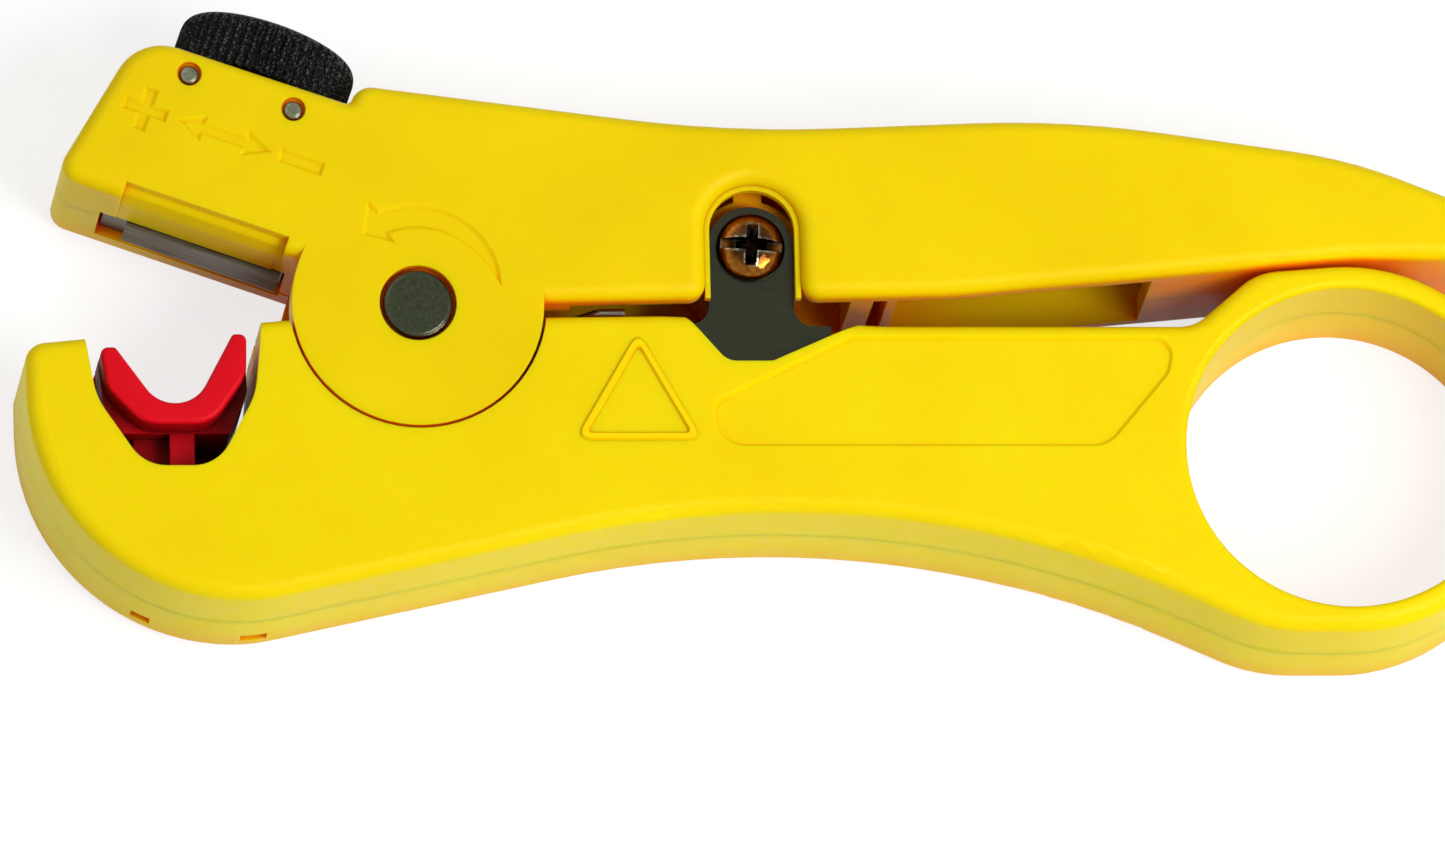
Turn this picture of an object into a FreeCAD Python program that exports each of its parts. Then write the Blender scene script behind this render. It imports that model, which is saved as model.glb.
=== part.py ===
import FreeCAD, Part
import Sketcher
import math
import os
import re

from FreeCAD import Placement, Rotation, Vector

# Cable stripping pliers, in millimetres. The tool lies flat: the pivot axis is +Z, the
# jaws face -X and the handles run to +X. The origin is the centre of the finger ring at
# mid thickness. Every piece is drawn about the pivot axis and moved there by its Placement.

DRIVING = {
    # the two moulded bodies
    "half_thickness": 8.5,
    "shell_wall": 2.2,
    "edge_round": 1.3,
    "bore_round": 0.6,
    "ring_from_pivot_x": 79.4,
    "ring_from_pivot_y": -12.6,
    "ring_bore_radius": 14.0,
    "ring_wall": 2.1,
    # the pivot
    "hub_radius": 10.75,
    "hub_clearance": 0.25,
    "lug_radius": 9.6,
    "lug_clearance": 0.4,
    "lug_half_width": 4.6,
    "cheek_clearance": 0.2,
    "pivot_radius": 2.5,
    "pivot_head_radius": 2.95,
    "pivot_head_depth": 1.2,
    "pivot_head_recess": 0.25,
    "running_clearance": 0.1,
    "head_hole_clearance": 0.35,
    # the closing spring
    "spring_wire": 0.9,
    "spring_radius": 5.2,
    "spring_turns": 4.0,
    "spring_pitch": 1.3,
    "spring_leg_reach": 17.8,
    "spring_room": 0.5,
    "spring_steps": 16,
    # the head and its adjuster
    "head_x": -13.06,
    "head_y": 20.28,
    "head_tilt": -19.5,
    "head_depth": 14.2,
    "cavity_half_width": 5.6,
    "carriage_left": 8.9,
    "carriage_right": 7.2,
    "carriage_drop": 1.95,
    "carriage_foot_gap": 0.8,
    "slide_clearance": 0.25,
    "carriage_travel": 0.7,
    "blade_thickness": 0.9,
    "blade_back": 0.1,
    "blade_left": 6.7,
    "blade_right": 7.1,
    "blade_height": 5.6,
    "blade_reach": 1.4,
    "blade_bevel": 1.1,
    "blade_pin_radius": 0.9,
    "blade_pin_offset": 4.4,
    "blade_pin_drop": 1.5,
    "blade_pin_length": 3.4,
    "tongue_gap": 0.4,
    "scoop_top": 12.9,
    "scoop_left": 7.7,
    "scoop_right": 6.9,
    "knob_radius": 7.75,
    "knob_height": 5.2,
    "knob_gap": 0.3,
    "knob_round": 1.4,
    "knob_ridges": 54,
    "ridge_depth": 0.35,
    "stem_radius": 2.4,
    "stem_in_knob": 3.6,
    "flange_radius": 5.4,
    "flange_thickness": 1.2,
    "thread_radius": 2.0,
    "thread_end_gap": 1.0,
    "play_spring_wire": 0.4,
    "play_spring_turns": 2.0,
    "play_spring_radius": 2.9,
    "head_pin_radius": 0.8,
    "head_pin_left": 5.67,
    "head_pin_right": 3.68,
    "head_pin_depth": 2.1,
    "head_pin_rim": 0.25,
    # the wire cutter
    "cutter_x": 28.75,
    "cutter_y": 5.6,
    "cutter_recess": 3.0,
    "cutter_thickness": 1.5,
    "cutter_top_radius": 3.65,
    "cutter_flare_left": 5.65,
    "cutter_flare_right": 6.75,
    "cutter_foot": 12.1,
    "cutter_room": 0.5,
    "arch_radius": 4.1,
    "arch_top": 10.7,
    "arch_foot": 1.5,
    "arch_lip": 0.45,
    "arch_lip_depth": 1.2,
    "screw_radius": 1.5,
    "screw_head_radius": 2.95,
    "screw_head_height": 1.7,
    "nut_across": 5.5,
    "nut_height": 2.4,
    "nut_recess": 0.5,
    "boss_radius": 4.6,
    # the jaw
    "seat_clearance": 0.12,
    "cassette_flange": 3.2,
    "cassette_inset": 0.3,
    "cassette_round": 0.45,
    "blade_slot": 0.4,
    "panel_sink": 0.4,
    # the snap windows in the jaw's bottom wall
    "snap_start": 28.0,
    "snap_reach": 6.5,
    "snap_window_height": 1.6,
    "snap_first_x": -24.0,
    "snap_first_width": 1.6,
    "snap_second_x": -14.7,
    "snap_second_width": 2.3,
}


def fill_sheet(document):
    """Write every driving size to the sheet as a cell with its own alias."""
    sheet = document.addObject("Spreadsheet::Sheet", "Sizes")
    for row, (alias, value) in enumerate(DRIVING.items(), start=1):
        sheet.set("A%d" % row, alias)
        sheet.set("B%d" % row, str(value))
        sheet.setAlias("B%d" % row, alias)
    document.recompute()
    return sheet


doc = FreeCAD.newDocument("CablePliers")
sizes = fill_sheet(doc)


def size(alias):
    """A driving size, as the sheet holds it."""
    return float(sizes.get(alias))


HALF = size("half_thickness")
WALL = size("shell_wall")
PIVOT_PLACE = Vector(-size("ring_from_pivot_x"), -size("ring_from_pivot_y"), 0)
HEAD_FRAME = Placement(
    Vector(size("head_x"), size("head_y"), 0),
    Rotation(Vector(0, 0, 1), size("head_tilt")),
)
PARTS = []
MITRED = 1


# Helpers for sketches

def origin_plane(body, role):
    """One of the body's own origin planes or axes."""
    for feature in body.Origin.OriginFeatures:
        if feature.Role == role:
            return feature
    raise ValueError(role)


def new_body(name, in_head=False):
    """A body placed so that its own origin is the pivot, or the knob's foot in the head."""
    body = doc.addObject("PartDesign::Body", name)
    body.Label = name
    body.Placement = HEAD_FRAME if in_head else Placement()
    body.Placement.move(PIVOT_PLACE)
    PARTS.append(body)
    return body


def new_sketch(body, name, role="XY_Plane", height=0.0, frame=None):
    """An empty sketch on an origin plane, lifted by height, in the head's frame if given."""
    sketch = body.newObject("Sketcher::SketchObject", name)
    sketch.AttachmentSupport = [(origin_plane(body, role), "")]
    sketch.MapMode = "FlatFace"
    offset = Placement(Vector(0, 0, height), Rotation())
    sketch.AttachmentOffset = offset.multiply(frame) if frame else offset
    return sketch


def unit(vector):
    return vector / vector.Length


def rounded_outline(corners):
    """Edges of a closed outline whose corners (x, y, radius) are rounded by tangent arcs."""
    starts = []
    edges = []
    count = len(corners)
    for index, (x, y, radius) in enumerate(corners):
        here = Vector(x, y, 0)
        before = unit(Vector(*corners[index - 1][:2], 0) - here)
        after = unit(Vector(*corners[(index + 1) % count][:2], 0) - here)
        half_turn = (math.pi - before.getAngle(after)) / 2
        reach = radius * math.tan(half_turn)
        inner = radius / math.cos(half_turn) - radius
        middle = here + unit(before + after) * inner if radius else here
        starts.append((here + before * reach, middle, here + after * reach, radius))
    for index, (first, middle, last, radius) in enumerate(starts):
        if radius:
            edges.append(Part.Arc(first, middle, last))
        following = starts[(index + 1) % count][0]
        if (following - last).Length > 1e-4:
            edges.append(Part.LineSegment(last, following))
    return edges


def draw(sketch, corners):
    sketch.addGeometry(rounded_outline(corners), False)
    return sketch


def draw_circle(sketch, x, y, radius):
    """A circle whose radius follows a size, or a sum of sizes."""
    index = sketch.addGeometry(Part.Circle(Vector(x, y, 0), Vector(0, 0, 1), 1.0), False)
    number = sketch.addConstraint(Sketcher.Constraint("Radius", index, 1.0))
    sketch.setExpression("Constraints[%d]" % number, bound(radius))
    return sketch


# Helpers for features. A level or a length is text made of sizes, such as
# "half_thickness - shell_wall", and side is 1 for the front half and -1 for the back.

def bound(text):
    """The expression for text, with each size named in the sheet."""
    return re.sub("[a-z_]+", lambda word: "Sizes." + word.group(0), text)


def sketch_at(body, name, level, side, frame=None):
    sketch = new_sketch(body, name, frame=frame)
    sketch.setExpression(".AttachmentOffset.Base.z", "%d * (%s)" % (side, bound(level)))
    return sketch


def extrude(body, kind, name, sketch, low, high, side):
    """Add or cut between two levels on one side of mid thickness."""
    feature = body.newObject("PartDesign::" + kind, name)
    feature.Profile = sketch
    feature.setExpression("Length", "(%s) - (%s)" % (bound(high), bound(low)))
    feature.Reversed = (side < 0) == (kind == "Pad")
    sketch.Visibility = False
    return feature


def pad(body, name, corners, low, high, side, frame=None):
    sketch = draw(sketch_at(body, name + "_outline", low, side, frame), corners)
    return extrude(body, "Pad", name, sketch, low, high, side)


def pocket(body, name, corners, low, high, side, frame=None):
    sketch = draw(sketch_at(body, name + "_outline", low, side, frame), corners)
    return extrude(body, "Pocket", name, sketch, low, high, side)


def round_pad(body, name, x, y, radius, low, high, side, frame=None):
    sketch = draw_circle(sketch_at(body, name + "_circle", low, side, frame), x, y, radius)
    return extrude(body, "Pad", name, sketch, low, high, side)


def round_pocket(body, name, x, y, radius, low, high, side, frame=None):
    sketch = draw_circle(sketch_at(body, name + "_circle", low, side, frame), x, y, radius)
    return extrude(body, "Pocket", name, sketch, low, high, side)


def round_edges(body, name, base, level, radius, wanted=lambda edge: True):
    """Round the wanted edges of base that lie at one height."""
    doc.recompute()
    chosen = []
    for index, edge in enumerate(base.Shape.Edges, start=1):
        flat = all(abs(vertex.Z - level) < 1e-4 for vertex in edge.Vertexes)
        level_edge = abs(edge.BoundBox.ZMax - edge.BoundBox.ZMin) < 1e-4
        if flat and level_edge and wanted(edge):
            chosen.append("Edge%d" % index)
    fillet = body.newObject("PartDesign::Fillet", name)
    fillet.Base = (base, chosen)
    fillet.setExpression("Radius", bound(radius))
    return fillet


def box_corners(left, bottom, right, top, radius=0.0):
    return [
        (left, bottom, radius),
        (right, bottom, radius),
        (right, top, radius),
        (left, top, radius),
    ]


# The lower body: jaw, lug, handle and finger ring

RING_X = size("ring_from_pivot_x")
RING_Y = size("ring_from_pivot_y")
RING_RADIUS = size("ring_bore_radius") + size("ring_wall")
HUB_CUT = size("hub_radius") + size("hub_clearance")
GAP_FLOOR = -1.81
SHOULDER = (RING_X - 7.5, RING_Y + RING_RADIUS - 0.55)
HANDLE_CROWN = (39.9, -14.15)
JAW_TIP = (-33.5, -3.4)


def ring_corner():
    """Where the line from the shoulder, tangent to the ring's top, meets its right side."""
    to_ring = Vector(RING_X - SHOULDER[0], RING_Y - SHOULDER[1], 0)
    slope = math.atan2(to_ring.y, to_ring.x) + math.asin(RING_RADIUS / to_ring.Length)
    right = RING_X + RING_RADIUS
    return (right, SHOULDER[1] + math.tan(slope) * (right - SHOULDER[0]), RING_RADIUS)


LOWER_OUTLINE = [
    (JAW_TIP[0], JAW_TIP[1], 1.7),
    (-33.6, -25.9, 18.4),
    (-13.5, -25.9, 14.0),
    (HANDLE_CROWN[0], HANDLE_CROWN[1], 85.0),
    (RING_X - 7.2, RING_Y - RING_RADIUS, 15.0),
    (RING_X + RING_RADIUS, RING_Y - RING_RADIUS, RING_RADIUS),
    ring_corner(),
    (SHOULDER[0], SHOULDER[1], 5.0),
    (RING_X - 13.0, GAP_FLOOR, 3.5),
    (40.0, GAP_FLOOR, 30.0),
    (21.0, -0.9, 30.0),
    (-11.0, -1.25, 20.0),
]
THROAT = [
    (-28.4, 1.0, 0.0),
    (-28.4, -3.4, 4.0),
    (-27.6, -8.3, 6.0),
    (-23.6, -14.3, 3.5),
    (-17.4, -14.3, 3.5),
    (-14.0, -8.0, 6.0),
    (-13.4, -2.0, 1.0),
    (-13.2, 1.0, 0.0),
]
NOTCH = [
    (21.6, 1.0, 0.0),
    (22.7, -0.9, 1.0),
    (26.3, -5.1, 1.8),
    (30.2, -5.1, 1.2),
    (37.6, GAP_FLOOR, 1.5),
    (42.0, 1.0, 0.0),
]
PANEL_DRAFT = 35.0
PANEL = [
    (25.2, -8.9, 1.0),
    (36.9, -3.2, 1.5),
    (64.4, -3.2, 1.4),
    (63.9, -6.0, 2.0),
    (58.6, -12.35, 2.5),
    (25.6, -12.35, 2.2),
]
LOWER_HOLLOW = [
    (15.0, GAP_FLOOR - WALL, 1.0),
    (15.0, -17.3, 2.0),
    (HANDLE_CROWN[0], HANDLE_CROWN[1] + WALL + 0.2, 55.0),
    (62.0, -21.5, 2.0),
    (62.0, GAP_FLOOR - WALL, 2.0),
]
JAW_HOLLOW = [
    (-31.2, -9.5, 0.3),
    (-31.3, -23.5, 12.5),
    (-8.5, -23.2, 2.0),
    (-9.0, -16.5, 1.5),
    (-25.2, -17.0, 4.0),
    (-29.8, -9.5, 0.3),
]


def cutter_slot_corners():
    """Room in the lower handle for the cutter's flare."""
    room = size("cutter_room")
    left = size("cutter_x") - size("cutter_flare_left") - room
    right = size("cutter_x") + size("cutter_flare_right") + room + 0.3
    bottom = size("cutter_y") - size("cutter_foot") - room
    return box_corners(left, bottom, right, 1.0)


def spring_leg_angle(side):
    """The front leg lies on the lower handle, the back one rises in the upper handle."""
    return 0.0 if side > 0 else 42.5


def lower_shell(name, side):
    body = new_body(name)
    slab = pad(body, "slab", LOWER_OUTLINE, "0", "half_thickness", side)
    round_edges(body, "rounded_edges", slab, side * HALF, "edge_round")
    bore = round_pocket(body, "ring_bore", RING_X, RING_Y, "ring_bore_radius",
                        "0", "half_thickness", side)
    round_edges(body, "rounded_bore", bore, side * HALF, "bore_round",
                lambda edge: abs(edge.Length - 2 * math.pi * size("ring_bore_radius")) < 1e-3)
    round_pad(body, "lug", 0, 0, "lug_radius", "0", "lug_half_width", side)
    round_pocket(body, "hub_seat", 0, 0, "hub_radius + hub_clearance",
                 "lug_half_width", "half_thickness", side)
    pocket(body, "throat", THROAT, "0", "half_thickness", side)
    hollow_top = "half_thickness - shell_wall"
    pocket(body, "handle_hollow", LOWER_HOLLOW, "0", hollow_top, side)
    pocket(body, "jaw_hollow", JAW_HOLLOW, "0", hollow_top, side)
    round_pocket(body, "pivot_hole", 0, 0, "pivot_radius + running_clearance",
                 "0", "lug_half_width", side)
    spring_seat(body, side)
    return body


def spring_seat(body, side):
    """A round groove in the lug for the coil, and a way out for the leg."""
    coil = sketch_at(body, "coil_seat_circles", "0", side)
    draw_circle(coil, 0, 0, "spring_radius + spring_room + spring_wire / 2 + 0.2")
    draw_circle(coil, 0, 0, "spring_radius - spring_room - spring_wire / 2")
    depth = "spring_turns * spring_pitch / 2 + spring_wire / 2 + 0.3"
    extrude(body, "Pocket", "coil_seat", coil, "0", depth, side)
    turn = Placement(Vector(), Rotation(Vector(0, 0, 1), spring_leg_angle(side)))
    half_slot = size("spring_wire") / 2 + 0.3
    lift = -0.3 if side > 0 else 0.0
    slot = box_corners(size("spring_radius"), lift - half_slot, 13.0, lift + half_slot)
    pocket(body, "leg_slot", slot, "0", depth, side, turn)


def finish_lower_front(body):
    """The cutter's notch and slot, the sunk panel and the blade's way through the horn."""
    blade_gate(body)
    pocket(body, "notch", NOTCH, "0", "half_thickness", 1)
    pocket(body, "cutter_slot", cutter_slot_corners(), "0",
           "half_thickness - cutter_recess + 0.25", 1)
    panel = pocket(body, "panel", PANEL, "half_thickness - panel_sink", "half_thickness", 1)
    panel.TaperAngle = PANEL_DRAFT


def blade_gate(body):
    """A slot across the horn, in line with the cassette's, for the end of the blade."""
    pocket(body, "blade_gate", box_corners(-14.6, -4.2, -9.8, 2.0), "0",
           "blade_back + blade_thickness + blade_slot", 1)


def finish_lower_back(body):
    """Two small windows for the snap hooks in the jaw's bottom wall."""
    sketch = new_sketch(body, "snap_windows_outline", "XZ_Plane")
    low = WALL + 0.2 - HALF
    high = low + size("snap_window_height")
    for name in ("snap_first", "snap_second"):
        left = size(name + "_x")
        outline = box_corners(left, low, left + size(name + "_width"), high)
        sketch.addGeometry(rounded_outline(outline), False)
    sketch.setExpression(".AttachmentOffset.Base.z", "Sizes.snap_start")
    windows = body.newObject("PartDesign::Pocket", "snap_windows")
    windows.Profile = sketch
    windows.setExpression("Length", "Sizes.snap_reach")


lower_front = lower_shell("lower_front_shell", 1)
finish_lower_front(lower_front)
lower_back = lower_shell("lower_back_shell", -1)
finish_lower_back(lower_back)


# The upper body: hub cheeks, head and channel handle

HEAD_DEPTH = size("head_depth")
FLANGE_TOP = -size("head_pin_depth") - size("head_pin_radius") - 0.15
FLANGE_BOTTOM = FLANGE_TOP - size("flange_thickness")
BLADE_BACK = size("blade_back")
BLADE_EDGE = -HEAD_DEPTH - size("blade_reach")
BLADE_TOP = BLADE_EDGE + size("blade_height")
PIN_LINE = BLADE_TOP - size("blade_pin_drop")
CARRIAGE_TOP = FLANGE_BOTTOM - size("carriage_drop")
TONGUE_TOP = BLADE_TOP + size("tongue_gap")
CARRIAGE_FOOT = -HEAD_DEPTH + size("carriage_foot_gap")
UPPER_EDGE_START = 0.2
HANDLE_TOP = [
    (94.8, 7.08, 2.0),
    (80.0, 13.0, 40.0),
    (56.0, 16.5, 90.0),
    (27.0, 15.35, 110.0),
    (-4.6, 19.45, 1.7),
    (-5.4, 17.75, 0.5),
]
UPPER_HOLLOW = [
    (13.2, -2.0, 0.0),
    (63.0, -2.0, 0.0),
    (63.0, 5.2, 1.0),
    (90.0, 6.2, 0.8),
    (80.0, 13.0 - WALL - 0.3, 20.0),
    (56.0, 16.5 - WALL, 90.0),
    (27.0, 15.35 - WALL, 90.0),
    (13.2, 17.1 - WALL, 1.5),
]
SPRING_ROOM = [
    (4.0, -2.0, 0.0),
    (22.0, -2.0, 0.0),
    (22.0, 15.9 - WALL, 1.0),
    (13.2, 17.1 - WALL, 1.0),
    (2.0, 6.0, 0.0),
]
LUG_WEB_ROOM = [
    (0.0, 0.0, 0.0),
    (-11.9, 5.0, 0.0),
    (-13.0, -13.0, 0.0),
    (13.0, -13.0, 0.0),
    (13.0, -0.3, 0.0),
]


def in_head(across, up):
    """A point of the head's frame, about the pivot."""
    point = HEAD_FRAME.multVec(Vector(across, up, 0))
    return (point.x, point.y)


def upper_outline(side):
    """The closed outline; on the front half it runs up round the cutter's arch."""
    arch = arch_corners(0.0) if side > 0 else []
    return [
        (9.0, UPPER_EDGE_START, 2.0),
        *arch,
        (46.0, 0.9, 60.0 if side < 0 else 20.0),
        (80.0, 4.05, 60.0),
        (94.0, 4.1, 1.6),
        *HANDLE_TOP,
        (*in_head(-10.8, 0.0), 4.3),
        (*in_head(-13.8, -HEAD_DEPTH), 1.6),
        (*in_head(9.0, -HEAD_DEPTH), 2.0),
    ]


def arch_corners(inset, foot=None):
    """The arch over the cutter, from its left foot over the top to its right foot."""
    half = size("arch_radius") - inset
    left = size("cutter_x") - half
    right = size("cutter_x") + half
    top = size("arch_top") - inset
    low = foot or UPPER_EDGE_START + 0.35
    corner = 0.0 if foot else size("arch_foot")
    return [
        (left, low, corner),
        (left, top, half - 0.05),
        (right, top, half - 0.05),
        (right, low, corner),
    ]


def upper_shell(name, side):
    body = new_body(name)
    slab = pad(body, "slab", upper_outline(side), "0", "half_thickness", side)
    round_edges(body, "rounded_edges", slab, side * HALF, "edge_round")
    round_pad(body, "hub", 0, 0, "hub_radius", "0", "half_thickness", side)
    hollow_top = "half_thickness - shell_wall"
    lug_top = "lug_half_width + cheek_clearance"
    pocket(body, "handle_channel", UPPER_HOLLOW, "0", hollow_top, side)
    round_pocket(body, "lug_room", 0, 0, "lug_radius + lug_clearance", "0", lug_top, side)
    pocket(body, "web_room", LUG_WEB_ROOM, "0", lug_top, side)
    pocket(body, "spring_room", SPRING_ROOM, "0", lug_top, side)
    for number, (left, right) in enumerate(((37.4, 39.3), (40.5, 41.3)), start=1):
        rib = box_corners(left, 1.2, right, 14.6)
        pad(body, "rib_%d" % number, rib, "0", hollow_top, side)
    pivot_hole(body, side)
    head_cavities(body, side)
    return body


def pivot_hole(body, side):
    """The pin's hole in the cheek, with a seat for its head or its cap."""
    round_pocket(body, "pivot_hole", 0, 0, "pivot_radius + running_clearance",
                 "0", "half_thickness", side)
    round_pocket(body, "pivot_seat", 0, 0, "pivot_head_radius + head_hole_clearance",
                 "half_thickness - pivot_head_depth - pivot_head_recess",
                 "half_thickness", side)


def head_cavities(body, side):
    """The slide for the carriage, the well for the flange and the holes for its pins."""
    slack = size("slide_clearance")
    left = -size("carriage_left") - slack
    right = size("carriage_right") + slack
    top = FLANGE_TOP - size("flange_thickness") + 0.2
    step = TONGUE_TOP - size("carriage_travel") - 0.3
    slide = box_corners(left, step, right, top)
    pocket(body, "carriage_slide", slide, "0", "cavity_half_width", side, HEAD_FRAME)
    mouth = box_corners(left, -HEAD_DEPTH - 3.0, right, step)
    depth = "blade_back + blade_thickness + 0.3" if side > 0 else "cavity_half_width"
    pocket(body, "blade_mouth", mouth, "0", depth, side, HEAD_FRAME)
    well = new_sketch(body, "flange_well_profile", frame=HEAD_FRAME)
    radius = size("flange_radius") + 0.3
    draw(well, box_corners(0.0, -6.0, radius, 1.0))
    groove = body.newObject("PartDesign::Groove", "flange_well")
    groove.Profile = well
    groove.ReferenceAxis = (well, ["V_Axis"])
    groove.Angle = 360.0
    for label, across in (("left", -size("head_pin_left")), ("right", size("head_pin_right"))):
        up = -size("head_pin_depth")
        round_pocket(body, "head_pin_hole_" + label, across, up, "head_pin_radius + 0.05",
                     "0", "half_thickness", side, HEAD_FRAME)
        round_pocket(body, "head_pin_rim_" + label, across, up,
                     "head_pin_radius + head_pin_rim", "half_thickness - 0.6",
                     "half_thickness", side, HEAD_FRAME)


def scoop(body):
    """The slope that bares the blade on the head's front, cut as a wedge along the edge."""
    sketch = body.newObject("Sketcher::SketchObject", "scoop_profile")
    sketch.AttachmentSupport = [(origin_plane(body, "XY_Plane"), "")]
    sketch.MapMode = "FlatFace"
    across = HEAD_FRAME.multiply(Placement(Vector(-size("scoop_left"), 0, 0), Rotation()))
    upright = Placement(Vector(), Rotation(Vector(1, 1, 1), 120))
    sketch.AttachmentOffset = across.multiply(upright)
    deep = size("blade_back") + size("blade_thickness") + 0.3
    top = -size("scoop_top")
    draw(sketch, [
        (-HEAD_DEPTH - 2.0, deep, 0.0),
        (-HEAD_DEPTH + 0.05, deep, 0.0),
        (-HEAD_DEPTH + 0.2, HALF - 3.3, 3.0),
        (-HEAD_DEPTH + 0.65, HALF - 1.6, 0.7),
        (top - 0.1, HALF - 1.1, 0.3),
        (top, HALF, 0.0),
        (top, HALF + 1.0, 0.0),
        (-HEAD_DEPTH - 2.0, HALF + 1.0, 0.0),
    ])
    cut = body.newObject("PartDesign::Pocket", "scoop")
    cut.Profile = sketch
    cut.setExpression("Length", "Sizes.scoop_left + Sizes.scoop_right")
    cut.Reversed = True


def finish_upper_front(body):
    """The arch, the boss that carries the cutter and the scoop over the blade."""
    plate_back = "half_thickness - cutter_recess - cutter_thickness"
    pad(body, "arch_lip", arch_corners(0.0, 0.75), "half_thickness - shell_wall",
        "half_thickness - arch_lip_depth", 1)
    pocket(body, "arch", arch_corners(size("arch_lip"), -2.0), "0", "half_thickness", 1)
    cutter_boss(body, 1, plate_back)
    scoop(body)


def cutter_boss(body, side, top):
    x = size("cutter_x")
    y = size("cutter_y")
    round_pad(body, "cutter_boss", x, y, "boss_radius", "0", top, side)
    web = box_corners(x - 1.2, y + 3.0, x + 1.2, 14.0)
    pad(body, "boss_web", web, "0", top, side)
    round_pocket(body, "screw_hole", x, y, "screw_radius + 0.1", "0", "half_thickness", side)


def finish_upper_back(body):
    """The boss with a hexagonal pocket for the nut."""
    cutter_boss(body, -1, "half_thickness - 0.5")
    pocket(body, "nut_pocket", hexagon(size("nut_across") / 2 + 0.1),
           "half_thickness - nut_height - nut_recess", "half_thickness", -1)


def hexagon(inner_radius):
    corner = inner_radius / math.cos(math.pi / 6)
    corners = []
    for step in range(6):
        angle = math.pi / 3 * step
        x = size("cutter_x") + corner * math.cos(angle)
        y = size("cutter_y") + corner * math.sin(angle)
        corners.append((x, y, 0.0))
    return corners


upper_front = upper_shell("upper_front_shell", 1)
finish_upper_front(upper_front)
upper_back = upper_shell("upper_back_shell", -1)
finish_upper_back(upper_back)


# The pivot: a headed pin, its cap and the spring that parts the handles

def pivot_pin():
    body = new_body("pivot_pin")
    seat = "half_thickness - pivot_head_depth - pivot_head_recess"
    round_pad(body, "shank", 0, 0, "pivot_radius", "0 - (%s)" % seat, seat, 1)
    head = round_pad(body, "head", 0, 0, "pivot_head_radius", seat,
                     "half_thickness - pivot_head_recess", 1)
    top = HALF - size("pivot_head_recess")
    round_edges(body, "head_edge", head, top, "pivot_head_depth / 4")


def pivot_cap():
    body = new_body("pivot_cap")
    low = "half_thickness - pivot_head_depth - pivot_head_recess"
    high = "half_thickness - pivot_head_recess"
    cap = round_pad(body, "disc", 0, 0, "pivot_head_radius", low, high, -1)
    round_edges(body, "cap_edge", cap, -HALF + size("pivot_head_recess"),
                "pivot_head_depth / 4")


def helix_points(radius, height, turns):
    """Points down a coil about Z, from the X axis, with a fixed number to each turn."""
    steps = round(size("spring_steps") * turns)
    points = []
    for step in range(steps + 1):
        part = step / steps
        angle = 2 * math.pi * turns * part
        points.append(Vector(radius * math.cos(angle), radius * math.sin(angle),
                             height * (0.5 - part)))
    return points


def bent_wire(points, radius):
    """A round wire through the points, mitred at each bend."""
    path = Part.makePolygon(points)
    circle = Part.Wire(Part.makeCircle(radius, points[0], points[1] - points[0]))
    return path.makePipeShell([circle], True, False, MITRED)


def torsion_spring():
    """A coil round the pin with one leg on each handle, as one wire."""
    turns = size("spring_turns") + spring_leg_angle(-1) / 360
    height = size("spring_pitch") * turns
    coil = helix_points(size("spring_radius"), height, turns)
    reach = size("spring_leg_reach")
    front = height / 2
    lift = -0.35
    seat = HALF - 2.4
    front_leg = [
        Vector(reach, lift, seat),
        Vector(reach - 2.2, lift, seat),
        Vector(reach - 4.6, lift, front),
        Vector(size("spring_radius") + 1.0, lift, front),
    ]
    angle = math.radians(spring_leg_angle(-1))
    outward = Vector(math.cos(angle), math.sin(angle), 0)
    lower_leg = outward * (reach + 2.4) + Vector(0, 0, -front)
    spring = doc.addObject("Part::Feature", "torsion_spring")
    spring.Label = "torsion_spring"
    spring.Shape = bent_wire([*front_leg, *coil, lower_leg], size("spring_wire") / 2)
    spring.Placement = Placement(PIVOT_PLACE, Rotation())
    PARTS.append(spring)


VEE = [
    (-25.85, -3.75, 0.4),
    (-20.48, -11.3, 2.95),
    (-15.85, -2.6, 0.4),
]
RIGHT_TIP = (-14.65, -2.6, 0.6)
LEFT_TIP = (-27.2, -3.75, 0.6)
FLANGE_OUTLINE = [
    *VEE,
    RIGHT_TIP,
    (-14.75, -6.3, 3.0),
    (-17.7, -10.5, 3.0),
    (-23.6, -10.5, 3.0),
    (-26.65, -7.3, 2.0),
    LEFT_TIP,
]


def flat_face(corners, level):
    """A face with a rounded outline at a height."""
    edges = [edge.toShape() for edge in rounded_outline(corners)]
    face = Part.Face(Part.Wire(Part.__sortEdges__(edges)))
    face.translate(Vector(0, 0, level))
    return face


def body_outline():
    """The block fills the foot of the throat and leaves it above, beside the arms."""
    gap = size("seat_clearance")
    foot = [(x, y + gap, radius) for x, y, radius in THROAT[3:5]]
    return [
        *VEE,
        RIGHT_TIP,
        (THROAT[5][0] - 0.45, THROAT[5][1] + 1.0, 2.0),
        (foot[1][0] - gap, foot[1][1], foot[1][2]),
        (foot[0][0] + gap, foot[0][1], foot[0][2]),
        (THROAT[2][0] + 0.85, THROAT[2][1] + 0.2, 2.0),
        LEFT_TIP,
    ]


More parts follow.
